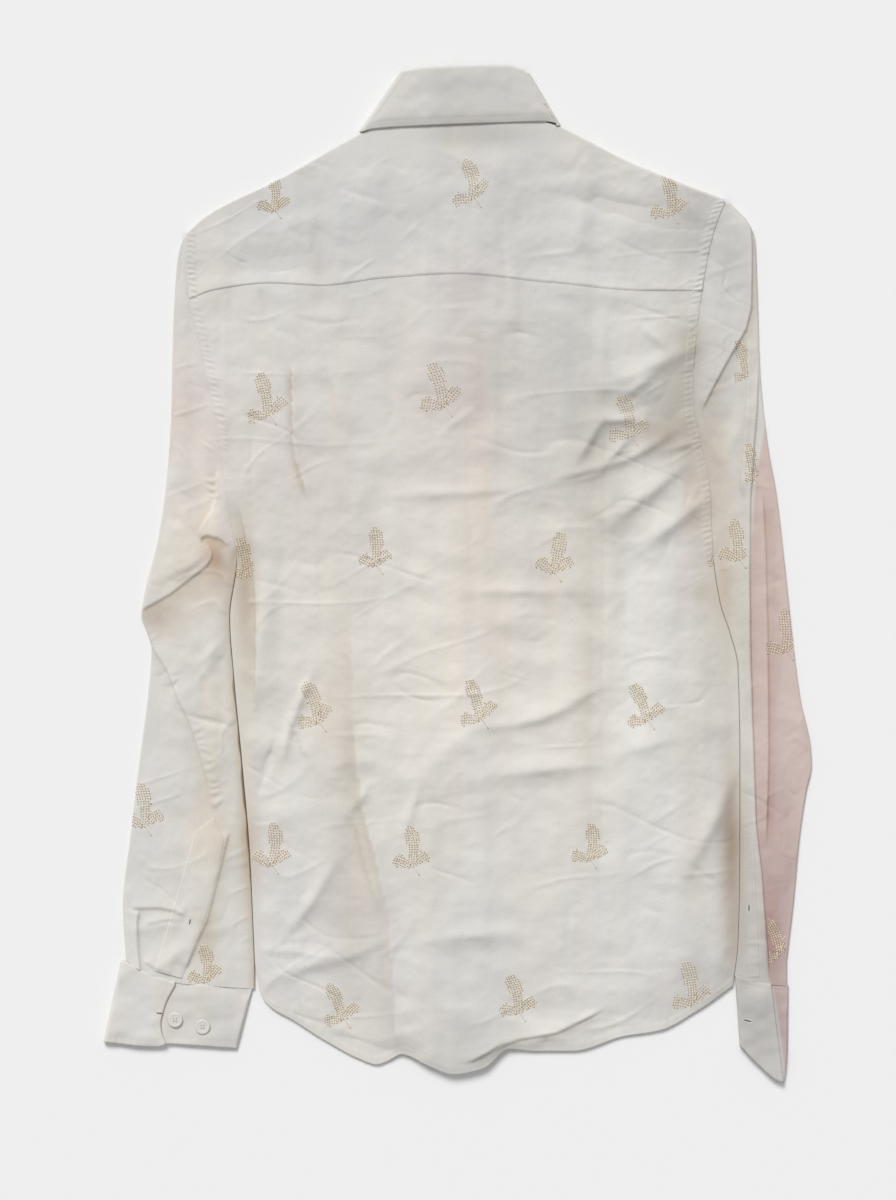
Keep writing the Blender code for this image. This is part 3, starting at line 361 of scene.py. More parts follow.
def nearest_on(path, x, y):
    """Distance to a line of points, the side it is on (over 0 is the right-hand side) and how far along."""
    path = np.asarray(path, float)
    best = np.full_like(x, 1e9)
    side = np.zeros_like(x)
    along = np.zeros_like(x)
    done = 0.0
    for (x0, y0), (x1, y1) in zip(path[:-1], path[1:]):
        length = np.hypot(x1 - x0, y1 - y0)
        t = np.clip(((x - x0) * (x1 - x0) + (y - y0) * (y1 - y0)) / length**2, 0, 1)
        off_x, off_y = x - x0 - t * (x1 - x0), y - y0 - t * (y1 - y0)
        distance = np.hypot(off_x, off_y)
        nearer = distance < best
        best = np.where(nearer, distance, best)
        side = np.where(nearer, (x - x0) * (y1 - y0) - (y - y0) * (x1 - x0), side)
        along = np.where(nearer, done + t * length, along)
        done += length
    return best, side, along, done


def step_height(steps, x, y):
    """Height of the folds' upper layers: steep at the edge, falling slowly away from it."""
    total = np.zeros_like(x)
    for step in steps:
        distance, side, along, length = nearest_on(step.path, x, y)
        upper = np.exp(-((distance / step.reach) ** 2)) + step.lip * np.exp(-((distance / LIP_REACH) ** 2))
        lower = (1 + step.lip) * (1 - eased(distance / step.drop))
        fade = eased(np.minimum(along, length - along) / step.fade)
        total += step.high * fade * np.where(side > 0, upper, lower)
    return total


def pucker_height(paths, x, y):
    """Short wrinkles standing across a seam, on its right-hand side."""
    total = np.zeros_like(x)
    for path in paths:
        distance, side, along, length = nearest_on(path, x, y)
        ends = eased(np.minimum(along, length - along) / 8)
        bell = np.exp(-(((distance - 4.0) / 4.5) ** 2)) * (side > 0) * ends
        wander = 4.2 * soft_noise(x, y, 13, 11, 57)
        patchy = eased(0.55 + 0.75 * soft_noise(x, y, 18, 18, 58))
        total += 0.60 * bell * np.sin(2 * np.pi * along / 6.8 + wander) * patchy
    return total


def collar_zone(x, y):
    across = 1 - eased((np.abs(x) - COLLAR_HALF) / COLLAR_SLOPE)
    return across * eased((y - COLLAR_Y + COLLAR_SLOPE) / COLLAR_SLOPE)


def band_zone(x, y):
    across = 1 - eased((np.abs(x) - BAND_HALF) / BAND_SLOPE)
    return across * (1 - eased((y - 300) / 40))


def side_distance(x, y):
    nearest = np.full_like(x, 1e3)
    for side in (LEFT_SIDE, RIGHT_SIDE):
        below = np.abs(x - curve(side, y))
        above = np.hypot(x - curve(side, ARMPIT_Y), y - ARMPIT_Y)
        nearest = np.minimum(nearest, np.where(y < ARMPIT_Y, below, above))
    return nearest


def crease_lines(x, y, cell_x, cell_y, seed, turn, sharp):
    """Thin meandering creases, each present only along parts of its length."""
    line = 1 - np.abs(soft_noise(x, y, cell_x, cell_y, seed, turn)) / sharp
    present = eased(0.9 * soft_noise(x, y, 40, 30, seed + 1) + 0.25)
    return np.maximum(line, 0.0) ** 1.5 * present


def wrinkles(x, y):
    """Loose undulation, thin creases across and on the slant, and small crumple."""
    relief = 1.5 * soft_noise(x, y, 40, 100, 10, 3) + 0.65 * soft_noise(x, y, 50, 20, 11, 5)
    relief += 0.6 * soft_noise(x, y, 17, 50, 16, -6)
    relief += 0.45 * soft_noise(x, y, 24, 13, 12, -14) + 0.30 * soft_noise(x, y, 10, 13, 13, 20)
    relief += 0.15 * soft_noise(x, y, 5, 4.5, 14)
    relief += 0.65 * crease_lines(x, y, 90, 26, 15, 4, 0.17)
    relief += 0.55 * crease_lines(x, y, 70, 30, 17, 32, 0.15)
    relief -= 0.70 * crease_lines(x, y, 60, 24, 19, -20, 0.16)
    relief -= 0.60 * crease_lines(x, y, 24, 80, 21, 5, 0.15)
    return WRINKLE_SCALE * relief


def cover(x, y):
    """Height of the back, the yoke and the sleeves' upper layer near the armholes."""
    base = TOP_LAYER + np.maximum(
        (COVER_OVER_BAND - TOP_LAYER) * band_zone(x, y),
        (COVER_OVER_COLLAR - TOP_LAYER) * collar_zone(x, y),
    )
    inside = side_distance(x, y)
    above_hem = np.maximum(y - curve(HEM, x), 0.0)
    puff = PUFF * rounded(inside / PUFF_REACH) * rounded((above_hem + 3) / PUFF_REACH)
    near_edge = rounded(inside / FOLD_REACH) * rounded((above_hem + 2) / FOLD_REACH)
    folds = fold_height(FOLDS, x, y) + step_height(BODY_STEPS, x, y) + wrinkles(x, y)
    calm = 1 - 0.9 * eased((y - 322) / 26) * (1 - eased((np.abs(x) - 86) / 20))
    smooth = base + np.maximum((puff + folds * near_edge) * calm, 0.0) + CLOTH / 2
    from_left = x - curve(LEFT_SIDE, y)
    from_right = curve(RIGHT_SIDE, y) - x
    armhole = fell(from_left, y + 0.3 * from_left, 51) + fell(from_right, y + 0.3 * from_right, 52)
    lowest = np.where(x < 0, LEFT_FELL_END, ARMPIT_Y - 4)
    return smooth + armhole * eased((y - lowest) / 12) + hem_fell(x, y)


def fell(across, along, seed):
    """A felled seam: a raised band, pulled in at its stitches and puckered between them."""
    band = eased((FELL_WIDTH + 0.5 - across) / 1.4) * eased((across + 0.5) / 1.2)
    wander = 4.0 * soft_noise(along, across, 17, 40, seed) + 1.2 * soft_noise(along, across, 5, 6, seed + 20)
    strength = 0.6 + 0.6 * soft_noise(along, across, 9, 6, seed + 10)
    pucker = np.sin(2 * np.pi * along / PUCKER_PITCH + wander) * strength
    middle = np.sin(np.pi * np.clip(across / FELL_WIDTH, 0, 1))
    spread = np.exp(-((np.maximum(across - FELL_WIDTH, 0) / 4.0) ** 2)) * (across > 0)
    groove = np.exp(-(((across - FELL_WIDTH + 1.0) / 0.8) ** 2))
    return band * (0.45 + 0.34 * pucker * middle) + 0.10 * pucker * spread - 0.30 * groove


def hem_fell(x, y):
    """The turned hem: a slightly raised band with small pulls above its stitches."""
    across = y - curve(HEM, x)
    band = eased((HEM_WIDTH + 0.4 - across) / 1.2)
    pulls = np.sin(2 * np.pi * x / 7.5 + 3.0 * soft_noise(x, y, 30, 60, 55))
    near = np.exp(-(((across - HEM_WIDTH) / 5.0) ** 2))
    groove = np.exp(-(((across - HEM_WIDTH + 0.8) / 0.8) ** 2))
    return 0.30 * band + 0.14 * pulls * near - 0.25 * groove


def place(points):
    """Millimetres on the laid-out shirt to metres in the frame."""
    moved = np.asarray(points, float).copy()
    moved[..., 0] -= CENTRE[0]
    moved[..., 1] -= CENTRE[1]
    return moved * MM


def tint_of(points, steps=()):
    """Soft patches of tone over the cloth, painted shade and light among them, and painted shade on the
    lower side of each step, as a colour for each point.
    """
    x, y = points[..., 0], points[..., 1]
    change = np.zeros(x.shape + (3,))
    for tint in TONE_AND_SHADE_PATCHES:
        weight = np.exp(-(((x - tint.x) / tint.wide) ** 2) - ((y - tint.y) / tint.tall) ** 2)
        red, green = tint.light + 0.5 * tint.warm, tint.light - 0.1 * tint.warm - tint.pink
        blue = tint.light - 1.2 * tint.warm
        change += weight[..., None] * np.array([red, green, blue])
    # Painted shade on the lower side of each step's edge, browner where it is deeper
    for step in steps:
        distance, side, along, length = nearest_on(step.path, x, y)
        fade = eased(np.minimum(along, length - along) / (1.3 * step.fade))
        fade = fade * (0.85 + 0.35 * soft_noise(x, y, 120, 55, 61))
        under = np.exp(-((distance / step.spread) ** 2)) * (side < 0) * fade
        change -= (step.shade * under)[..., None] * np.array([0.85, 1.0, 1.25])
    seam = np.exp(-(((side_distance(x, y) - 3.5) / 4.5) ** 2)) * eased((y - ARMPIT_Y) / 20)
    change += seam[..., None] * np.array([1.5, -0.5, -2.5])
    bands = soft_noise(x, y, 10, 150, 62)[..., None]
    change += bands * np.array([1.5, 0.5, -0.9])
    change += np.minimum(soft_noise(x, y, 8, 120, 63), 0)[..., None] * 3.2
    change += 2.0 * soft_noise(x, y, 28, 60, 21)[..., None] * np.array([1.0, 1.1, 1.2])
    change += 1.6 * soft_noise(x, y, 14, 10, 22)[..., None]
    return np.clip(np.array(LINEN) * (1 + change / 100), 0, 1)


def linked(name, data):
    made = bpy.data.objects.new(name, data)
    bpy.context.scene.collection.objects.link(made)
    return made


def mesh_object(name, points, faces):
    """A smooth mesh from points in metres."""
    mesh = bpy.data.meshes.new(name)
    mesh.from_pydata(points.tolist(), [], faces)
    mesh.update()
    mesh.shade_smooth()
    return linked(name, mesh)


def paint(made, colours):
    layer = made.data.color_attributes.new("Tone", "FLOAT_COLOR", "POINT")
    flat = np.ones((len(made.data.vertices), 4))
    flat[:, :3] = colours.reshape(-1, 3)
    layer.data.foreach_set("color", flat.ravel())


def grain(made, coordinates):
    """Cloth coordinates along the weft and the warp, in millimetres, for the weave."""
    layer = made.data.attributes.new("Grain", "FLOAT_VECTOR", "POINT")
    flat = np.zeros((len(made.data.vertices), 3))
    flat[:, :2] = coordinates.reshape(-1, 2)
    layer.data.foreach_set("vector", flat.ravel())


def grid_faces(rows, columns, keep):
    """Quads of a grid of rows by columns points. keep(row, column) tells which faces stay."""
    row, column = np.meshgrid(np.arange(rows - 1), np.arange(columns - 1), indexing="ij")
    row, column = row.ravel(), column.ravel()
    if keep is not None:
        kept = keep(row, column)
        row, column = row[kept], column[kept]
    first = row * columns + column
    second = first + 1
    return np.stack([first, second, second + columns, first + columns], axis=1)


def cloth_grid(name, points, material, node_name, keep=None, colours=None, shell=None):
    """A sheet of cloth from rows by columns points in millimetres; shell is its thickness."""
    rows, columns = points.shape[:2]
    faces = grid_faces(rows, columns, keep).tolist()
    made = mesh_object(name, place(points).reshape(-1, 3), faces)
    paint(made, tint_of(points) if colours is None else colours)
    grain(made, points[..., :2])
    made.data.materials.append(material)
    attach(made, "root")
    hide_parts(node_name)
    if shell is not None:
        solid = made.modifiers.new("Shell", "SOLIDIFY")
        solid.thickness = shell * MM
        solid.offset = 0.0
    return made


BACK_COLUMNS = 196
BACK_ROWS = 480
HEM_ROWS = 7
HEM_ROUND = 0.5
HEM_FROM, HEM_TO = -162.6, 220
YOKE_FROM, YOKE_TO = -216, 199
YOKE_LAP = 6.0


def toward_edges(count):
    """Shares from 0 to 1 set closer together near both ends."""
    t = np.linspace(0, 1, count + 1)
    return t - 0.055 * np.sin(2 * np.pi * t)


def back_panel(linen):
    """The back: a single sheet whose hem is turned under."""
    u = toward_edges(BACK_COLUMNS)[None, :]
    v = np.linspace(0, 1, BACK_ROWS + 1)[:, None]
    seam_y = curve(YOKE_SEAM, blend(YOKE_FROM, YOKE_TO, u)) + YOKE_LAP
    hem_y = curve(HEM, blend(HEM_FROM, HEM_TO, u))
    y = blend(hem_y, seam_y, v)
    x = blend(curve(LEFT_SIDE, y), curve(RIGHT_SIDE, y), u)
    z = cover(x, y)
    points = np.stack([x, y, z], axis=2)
    turned = points[:1].repeat(HEM_ROWS, axis=0)
    angles = np.linspace(0, np.pi, HEM_ROWS)[:, None]
    turned[..., 1] -= HEM_ROUND * np.sin(angles)
    turned[..., 2] -= HEM_ROUND * (1 - np.cos(angles))
    under = turned[-1:].copy()
    under[..., 1] += HEM_WIDTH - 1.5
    points = np.concatenate([under, turned[:0:-1], points])
    tones = tint_of(points, BODY_STEPS)
    return cloth_grid("back_cloth", points, linen, "back_panel", colours=tones)


YOKE_COLUMNS = 330
YOKE_ROWS = 110
YOKE_TURN = 8
YOKE_WRAP_ROWS = 10
YOKE_WRAP = 30.0
NECK_LEFT = -66.0
NECK_RIGHT = 72.0


def front_layer(x, y, over_band):
    band = (over_band - FLOOR_LAYER) * band_zone(x, y)
    collar = (TURN_LAYER - FLOOR_LAYER) * collar_zone(x, y)
    return FLOOR_LAYER + np.maximum(band, collar)


def yoke(linen):
    """The yoke, lapped over the back and turned over each shoulder."""
    u = toward_edges(YOKE_COLUMNS)
    seam_y = curve(YOKE_SEAM, blend(YOKE_FROM, YOKE_TO, u))
    edge_x = blend(-217, 214.5, u)
    edge_y = curve(SHOULDER, edge_x)
    in_neck = (edge_x > NECK_LEFT) & (edge_x < NECK_RIGHT)

    def layer(x, y):
        lap = 0.9 * (1 - eased((y - curve(YOKE_SEAM, x)) / 14))
        edge_drop = 0.8 * (1 - rounded((y - curve(YOKE_SEAM, x)) / 1.2))
        return np.maximum(cover(x, y), TURN_LAYER + CLOTH / 2) + lap - edge_drop

    low = front_layer(edge_x, edge_y, FLOOR_LAYER) - CLOTH / 2 + 0.2
    radius = np.where(in_neck, 0.0, (layer(edge_x, edge_y) - low) / 2)
    last_y = edge_y - radius
    rows = []
    for step in range(YOKE_ROWS + 1):
        y = blend(seam_y, last_y, step / YOKE_ROWS)
        x = blend(curve(LEFT_SIDE, y), curve(RIGHT_SIDE, y), u)
        rows.append(np.stack([x, y, layer(x, y)], axis=1))
    top = rows[-1]
    for step in range(1, YOKE_TURN):
        angle = np.pi * step / YOKE_TURN
        x = top[:, 0]
        y = top[:, 1] + radius * np.sin(angle)
        z = (top[:, 2] + low) / 2 + (top[:, 2] - low) / 2 * np.cos(angle)
        rows.append(np.stack([x, y, z], axis=1))
    for step in range(YOKE_WRAP_ROWS + 1):
        y = last_y - (YOKE_WRAP - radius) * step / YOKE_WRAP_ROWS
        x = blend(curve(LEFT_SIDE, y), curve(RIGHT_SIDE, y), u)
        z = front_layer(x, y, FLOOR_LAYER) - CLOTH / 2 + 0.2
        rows.append(np.stack([x, y, z], axis=1))

    def keep(row, column):
        middle = (edge_x[column + 1] > NECK_LEFT) & (edge_x[column] < NECK_RIGHT)
        return ~((row >= YOKE_ROWS) & middle)

    return cloth_grid("yoke_cloth", np.stack(rows), linen, "back_yoke", keep=keep)


SLEEVE_ROWS = 400
SLEEVE_TOP = 90
SLEEVE_LOW = 12
TURN = 8
SIDE_CLEARANCE = 0.35
SEAM_REACH = 14.0
SEAM_DIP = 0.45


def sleeve_top(folds, steps, puckered, x, y, from_inner, from_outer, seed):
    """Height of a sleeve's upper layer."""
    below = eased((ARMPIT_Y - y) / 30)
    inner_puff = blend(1.0, rounded(from_inner / PUFF_REACH), below)
    inner_fold = blend(1.0, rounded((from_inner + 1) / 8), below)
    puff = PUFF * rounded((from_outer + 1.5) / PUFF_REACH) * inner_puff
    relief = fold_height(folds, x, y)
    relief += 1.00 * soft_noise(x, y, 26, 30, seed, 30) + 0.38 * soft_noise(x, y, 11, 10, seed + 1, -20)
    relief += 0.15 * soft_noise(x, y, 5, 5, seed + 2)
    relief += 0.80 * crease_lines(x, y, 40, 18, seed + 3, 18, 0.16)
    relief -= 0.65 * crease_lines(x, y, 40, 20, seed + 5, -24, 0.16)
    height = puff + relief * inner_fold * rounded((from_outer + 1) / 9)
    height += pucker_height(puckered, x, y)
    height += step_height(steps, x, y) * rounded((from_outer + 0.5) / 3) * rounded((from_inner + 1.5) / 3)
    beside = (1 - below) * (1 - rounded(from_inner / SEAM_REACH)) * rounded(from_outer / 8)
    level = blend(TOP_LAYER + height, cover(x, y) - CLOTH / 2 - SEAM_DIP, beside)
    return np.maximum(level, TURN_LAYER) + CLOTH / 2


def sleeve(
    name, linen, node_name, side, outer_rows, cuff_seam, folds, steps, puckered, sign, seed,
    colours,
):
    """A flattened tube, closed below the armpit and open to the armhole above it."""
    top_y = max(row[0] for row in outer_rows)
    bottom = FLOOR_LAYER - CLOTH / 2 + 0.25
    t = np.linspace(0, 1, SLEEVE_ROWS + 1)[:, None]
    radius = (TURN_LAYER + CLOTH / 2 - bottom) / 2
    middle = bottom + radius
    quarter = np.linspace(0, np.pi / 2, TURN // 2 + 1)[:-1]
    half = np.linspace(0, np.pi, TURN + 1)[1:-1]
    columns = []
    for angle in quarter:
        columns.append(("inner", angle))
    for share in np.linspace(0, 1, SLEEVE_TOP + 1):
        columns.append(("top", share))
    for angle in half:
        columns.append(("outer", angle))
    for share in np.linspace(1, 0, SLEEVE_LOW + 1):
        columns.append(("low", share))
    for angle in quarter[::-1]:
        columns.append(("under", angle))
    points = np.zeros((SLEEVE_ROWS + 1, len(columns), 3))
    for index, (kind, at) in enumerate(columns):
        share = {"inner": 0.0, "top": at, "outer": 1.0, "low": at, "under": 0.0}[kind]
        bottom_x = blend(curve(side, -330.0), curve(outer_rows, -330.0), share)
        y = blend(top_y, curve(cuff_seam, bottom_x) - 0.5, t)
        inner = curve(side, y) + sign * SIDE_CLEARANCE * eased((ARMPIT_Y + 14 - y) / 20)
        outer = curve(outer_rows, y)
        width = np.abs(outer - inner)
        turn = radius * eased((ARMPIT_Y - y) / 20)
        if kind == "inner" or kind == "under":
            distance = turn * (1 - np.cos(at))
            z = middle + radius * np.sin(at) * (1 if kind == "inner" else -1)
        elif kind == "outer":
            distance = width - radius + radius * np.sin(at)
            z = middle + radius * np.cos(at)
        else:
            distance = blend(turn, width - radius, at)
            z = np.full_like(y, bottom)
        x = inner + sign * distance
        if kind == "top":
            z = sleeve_top(folds, steps, puckered, x, y, distance, width - distance, seed)
        points[:, index] = np.concatenate([x, y, z + 0 * x], axis=1)
    armpit = np.argmin(np.abs(points[:, 0, 1] - ARMPIT_Y))
    turn_columns = TURN // 2

    def keep(row, column):
        in_turn = (column < turn_columns) | (column >= len(columns) - 1 - turn_columns)
        return ~((row < armpit) & in_turn)

    return cloth_grid(name, points, linen, node_name, keep=keep, colours=colours(points))


def principled(name, **values):
    """A new material, its tree and its shader, with values for the shader's inputs."""
    material = bpy.data.materials.new(name)
    material.use_nodes = True
    tree = material.node_tree
    shader = tree.nodes["Principled BSDF"]
    for key, value in values.items():
        shader.inputs[key.replace("_", " ")].default_value = value
    return material, tree, shader


def link(tree, source, output, target, socket):
    tree.links.new(source.outputs[output], target.inputs[socket])


def ramp_node(tree, stops):
    """A colour ramp between two (position, colour) stops."""
    made = node(tree, "ShaderNodeValToRGB")
    for index, (position, colour) in enumerate(stops):
        made.color_ramp.elements[index].position = position
        made.color_ramp.elements[index].color = (*colour, 1)
    return made


def node(tree, kind, **inputs):
    made = tree.nodes.new(kind)
    for name, value in inputs.items():
        if hasattr(made, name):
            setattr(made, name, value)
        else:
            made.inputs[name.replace("_", " ")].default_value = value
    return made


def linen_material():
    """Plain-woven linen: painted tone, slub threads, and a fine weave in the bump."""
    material, tree, shader = principled(
        "linen_weave", Roughness=0.88, Specular_IOR_Level=0.22, Sheen_Weight=0.05, Sheen_Roughness=0.5
    )
    tone = node(tree, "ShaderNodeAttribute", attribute_name="Tone")
    cloth = node(tree, "ShaderNodeAttribute", attribute_name="Grain")
    warp = node(tree, "ShaderNodeMapping", Scale=(0.9, 0.13, 1.0))
    link(tree, cloth, "Vector", warp, "Vector")
    slub = node(tree, "ShaderNodeTexNoise", Scale=0.9, Detail=2.0, Roughness=0.6)
    link(tree, warp, "Vector", slub, "Vector")
    ramp = ramp_node(tree, [(0.66, (0, 0, 0)), (0.76, (1, 1, 1))])
    link(tree, slub, "Fac", ramp, "Fac")
    dark = node(tree, "ShaderNodeMix", data_type="RGBA", blend_type="MULTIPLY")
    link(tree, ramp, "Color", dark, "Factor")
    link(tree, tone, "Color", dark, 6)
    dark.inputs[7].default_value = (0.90, 0.86, 0.80, 1)
    mottle = node(tree, "ShaderNodeTexNoise", Scale=0.55, Detail=4.0, Roughness=0.75)
    link(tree, cloth, "Vector", mottle, "Vector")
    light = node(tree, "ShaderNodeMapRange", From_Min=0.25, From_Max=0.75, To_Min=0.955, To_Max=1.045)
    link(tree, mottle, "Fac", light, "Value")
    scaled = node(tree, "ShaderNodeVectorMath", operation="SCALE")
    link(tree, dark, 2, scaled, 0)
    link(tree, light, "Result", scaled, "Scale")
    link(tree, scaled, "Vector", shader, "Base Color")
    wave = {"wave_type": "BANDS", "Scale": 0.62, "Distortion": 1.2}
    weft = node(tree, "ShaderNodeTexWave", bands_direction="X", **wave)
    warp_wave = node(tree, "ShaderNodeTexWave", bands_direction="Y", **wave)
    link(tree, cloth, "Vector", weft, "Vector")
    link(tree, cloth, "Vector", warp_wave, "Vector")
    weave = node(tree, "ShaderNodeMath", operation="ADD")
    link(tree, weft, "Fac", weave, 0)
    link(tree, warp_wave, "Fac", weave, 1)
    crumple = node(tree, "ShaderNodeTexNoise", Scale=0.22, Detail=4.0, Roughness=0.6)
    link(tree, cloth, "Vector", crumple, "Vector")
    together = node(tree, "ShaderNodeMath", operation="MULTIPLY_ADD")
    link(tree, crumple, "Fac", together, 0)
    together.inputs[1].default_value = 5.0
    link(tree, weave, "Value", together, 2)
    bump = node(tree, "ShaderNodeBump", Strength=0.35, Distance=0.00012)
    link(tree, together, "Value", bump, "Height")
    link(tree, bump, "Normal", shader, "Normal")
    return material


SKY = 0.42
SUN = 2.4
SUN_SPREAD = 26.0
SUN_FROM = (-0.35, 1.0, 1.0)
VIEW_X = -8.0
VIEW_Y = -20.4
VIEW_HEIGHT = 960.0
LENS = 80.0
SENSOR = 36.0
CLOTH_PLANE = 5.0
FLOOR_SIZE = 3.0
FLOOR_Z = -0.0002


def stage_and_light():
    size = FLOOR_SIZE
    corners = [(-size, -size), (size, -size), (size, size), (-size, size)]
    floor_mesh = bpy.data.meshes.new("floor")
    floor_mesh.from_pydata([(x, y, FLOOR_Z) for x, y in corners], [], [(0, 1, 2, 3)])
    floor = linked("floor", floor_mesh)
    pale, _, _ = principled("pale_floor", Base_Color=(0.91, 0.91, 0.91, 1), Roughness=0.9)
    floor.data.materials.append(pale)
    world = bpy.data.worlds.new("studio")
    world.use_nodes = True
    world.node_tree.nodes["Background"].inputs["Color"].default_value = (1, 1, 1, 1)
    world.node_tree.nodes["Background"].inputs["Strength"].default_value = SKY
    bpy.context.scene.world = world
    bpy.context.scene.view_settings.view_transform = "Standard"
    sun = bpy.data.lights.new("window", "SUN")
    sun.energy = SUN
    sun.angle = np.radians(SUN_SPREAD)
    lamp = linked("window", sun)
    lamp.rotation_euler = Vector(SUN_FROM).to_track_quat("Z", "Y").to_euler()


def camera():
    """Straight down on the shirt, with the photograph's frame."""
    made = linked("camera", bpy.data.cameras.new("camera"))
    made.data.lens = LENS
    made.data.sensor_width = SENSOR
    distance = VIEW_HEIGHT * LENS / SENSOR
    made.location = place(np.array([VIEW_X, VIEW_Y, distance + CLOTH_PLANE]))
    bpy.context.scene.camera = made


def tree_of(made):
    """The piece's own surface, for seating sewing on it."""
    return BVHTree.FromObject(made, bpy.context.evaluated_depsgraph_get())


RAY_FROM = 60.0


def straight_down(x, y):
    """Start and direction of a ray that falls on the shirt at (x, y) millimetres."""
    return Vector(place(np.array([x, y, RAY_FROM])).tolist()), Vector((0, 0, -1))


def seat(trees, x, y, wanted):
    """Top point and normal at (x, y) millimetres, or nothing if an unwanted piece lies on top."""
    best = None
    for name, tree in trees.items():
        hit, normal, _, _ = tree.ray_cast(*straight_down(x, y))
        if hit is not None and (best is None or hit.z > best[1].z):
            best = (name, hit, normal if normal.z > 0 else -normal)
    if best is None or best[0] not in wanted:
        return None
    return best[1], best[2]


DOME_SIDES = 6


def dome(rings):
    """A low dome of unit size: its points, faces and the tone of each point, which is painted shade and
    light.
    """
    points, tones = [], []
    for radius, height, tone in rings:
        for side in range(DOME_SIDES):
            angle = 2 * np.pi * side / DOME_SIDES
            points.append((radius * np.cos(angle), radius * np.sin(angle), height))
            tones.append(tone)
    points.append((0, 0, rings[-1][1] + 0.15))
    tones.append(rings[-1][2])
    faces = []
    for ring in range(len(rings) - 1):
        for side in range(DOME_SIDES):
            after = (side + 1) % DOME_SIDES
            low, high = ring * DOME_SIDES, (ring + 1) * DOME_SIDES
            faces += [(low + side, low + after, high + after), (low + side, high + after, high + side)]
    top = (len(rings) - 1) * DOME_SIDES
    for side in range(DOME_SIDES):
        faces.append((top + side, top + (side + 1) % DOME_SIDES, len(points) - 1))
    return np.array(points), np.array(faces), np.array(tones)


# Rings of (radius, height, tone): the tones are painted shade at each dome's foot, and on the seeds a
# painted highlight at the top
STITCH_DOME = [(1.0, -0.5, 0.80), (0.86, 0.35, 0.97)]
SEED_DOME = [(1.0, -0.2, 0.72), (0.72, 0.6, 1.05)]


def scatter(name, kind, spots, sizes, colours, material):
    """One mesh with a dome at every (point, normal, direction); sizes are in millimetres."""
    shape, faces, tones = dome(kind)
    where = np.array([tuple(spot[0]) for spot in spots])
    normal = np.array([tuple(spot[1]) for spot in spots])
    along = np.array([tuple(spot[2]) for spot in spots])
    along = along - normal * np.sum(along * normal, axis=1, keepdims=True)
    along /= np.linalg.norm(along, axis=1, keepdims=True)
    across = np.cross(normal, along)
    sizes = np.asarray(sizes, float) * MM
    points = where[:, None, :] + along[:, None, :] * (shape[None, :, :1] * sizes[:, None, :1] / 2)
    points = points + across[:, None, :] * (shape[None, :, 1:2] * sizes[:, None, 1:2] / 2)
    points = points + normal[:, None, :] * (shape[None, :, 2:3] * sizes[:, None, 2:3])
    shift = np.arange(len(spots))[:, None, None] * len(shape)
    made = mesh_object(name, points.reshape(-1, 3), (faces[None] + shift).reshape(-1, 3).tolist())
    # Each colour is multiplied by the dome's ring tones: painted shade at the foot, painted highlight on the
    # seeds' tops
    paint(made, np.asarray(colours)[:, None, :] * tones[None, :, None])
    made.data.materials.append(material)
    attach(made, "root")


def walk(path, pitch):
    """Points at an even pitch along a line of (x, y) points, with the direction there."""
    path = np.asarray(path, float)
    steps = np.hypot(*np.diff(path, axis=0).T)
    length = np.concatenate([[0], np.cumsum(steps)])
    at = np.arange(pitch / 2, length[-1], pitch)
    x, y = np.interp(at, length, path[:, 0]), np.interp(at, length, path[:, 1])
    ahead = [np.interp(at + 0.5, length, path[:, k]) for k in (0, 1)]
    behind = [np.interp(at - 0.5, length, path[:, k]) for k in (0, 1)]
    return zip(x, y, ahead[0] - behind[0], ahead[1] - behind[1])


def sew(name, lines, trees, material):
    """Machine stitches along lines, each line a (pieces, path) pair."""
    spots = []
    for wanted, path in lines:
        for x, y, toward_x, toward_y in walk(path, STITCH_PITCH):
            found = seat(trees, x, y, wanted)
            if found:
                spots.append((found[0], found[1], (toward_x, toward_y, 0.0)))
    sizes = [(STITCH_LENGTH, THREAD, STITCH_RISE)] * len(spots)
    scatter(name, STITCH_DOME, spots, sizes, [THREAD_TONE] * len(spots), material)


THREAD_TONE = (0.74, 0.71, 0.66)
LEAF_THREAD = (0.40, 0.295, 0.175)
PALE_THREAD = (0.82, 0.73, 0.58)
STEM_THREAD = (0.56, 0.46, 0.32)
# The buttonholes' slits are painted shade: a flat dark strip where the cut opens
SLIT_SHADE_TONE = (0.075, 0.060, 0.045)
# Buttonholes: the piece, the middle, the turn in degrees and the length
BUTTONHOLES = [
    ("left_strip", -214.5, -278, 80, 8), ("left_cuff", -239.5, -351, -4, 8),
    ("right_strip", 233, -267, 88, 7), ("right_cuff", 231.5, -357, -14, 8),
]
SEED_PITCH = 2.1
SEED_ROWS = 1.0
LEAF_STITCH_LENGTH = 1.45
LEAF_STITCH_WIDTH = 1.1


def in_leaf(u, v, wide, foot):
    """Whether a point is in a leaf along u from 0 to 1, with its foot's share of the half width."""
    inside = np.clip(u, 0, 1)
    half = blend(foot, 1.0, inside**1.1) * np.sqrt(1 - inside**5)
    return (u > 0) & (u < 1) & (np.abs(v) < half * wide)


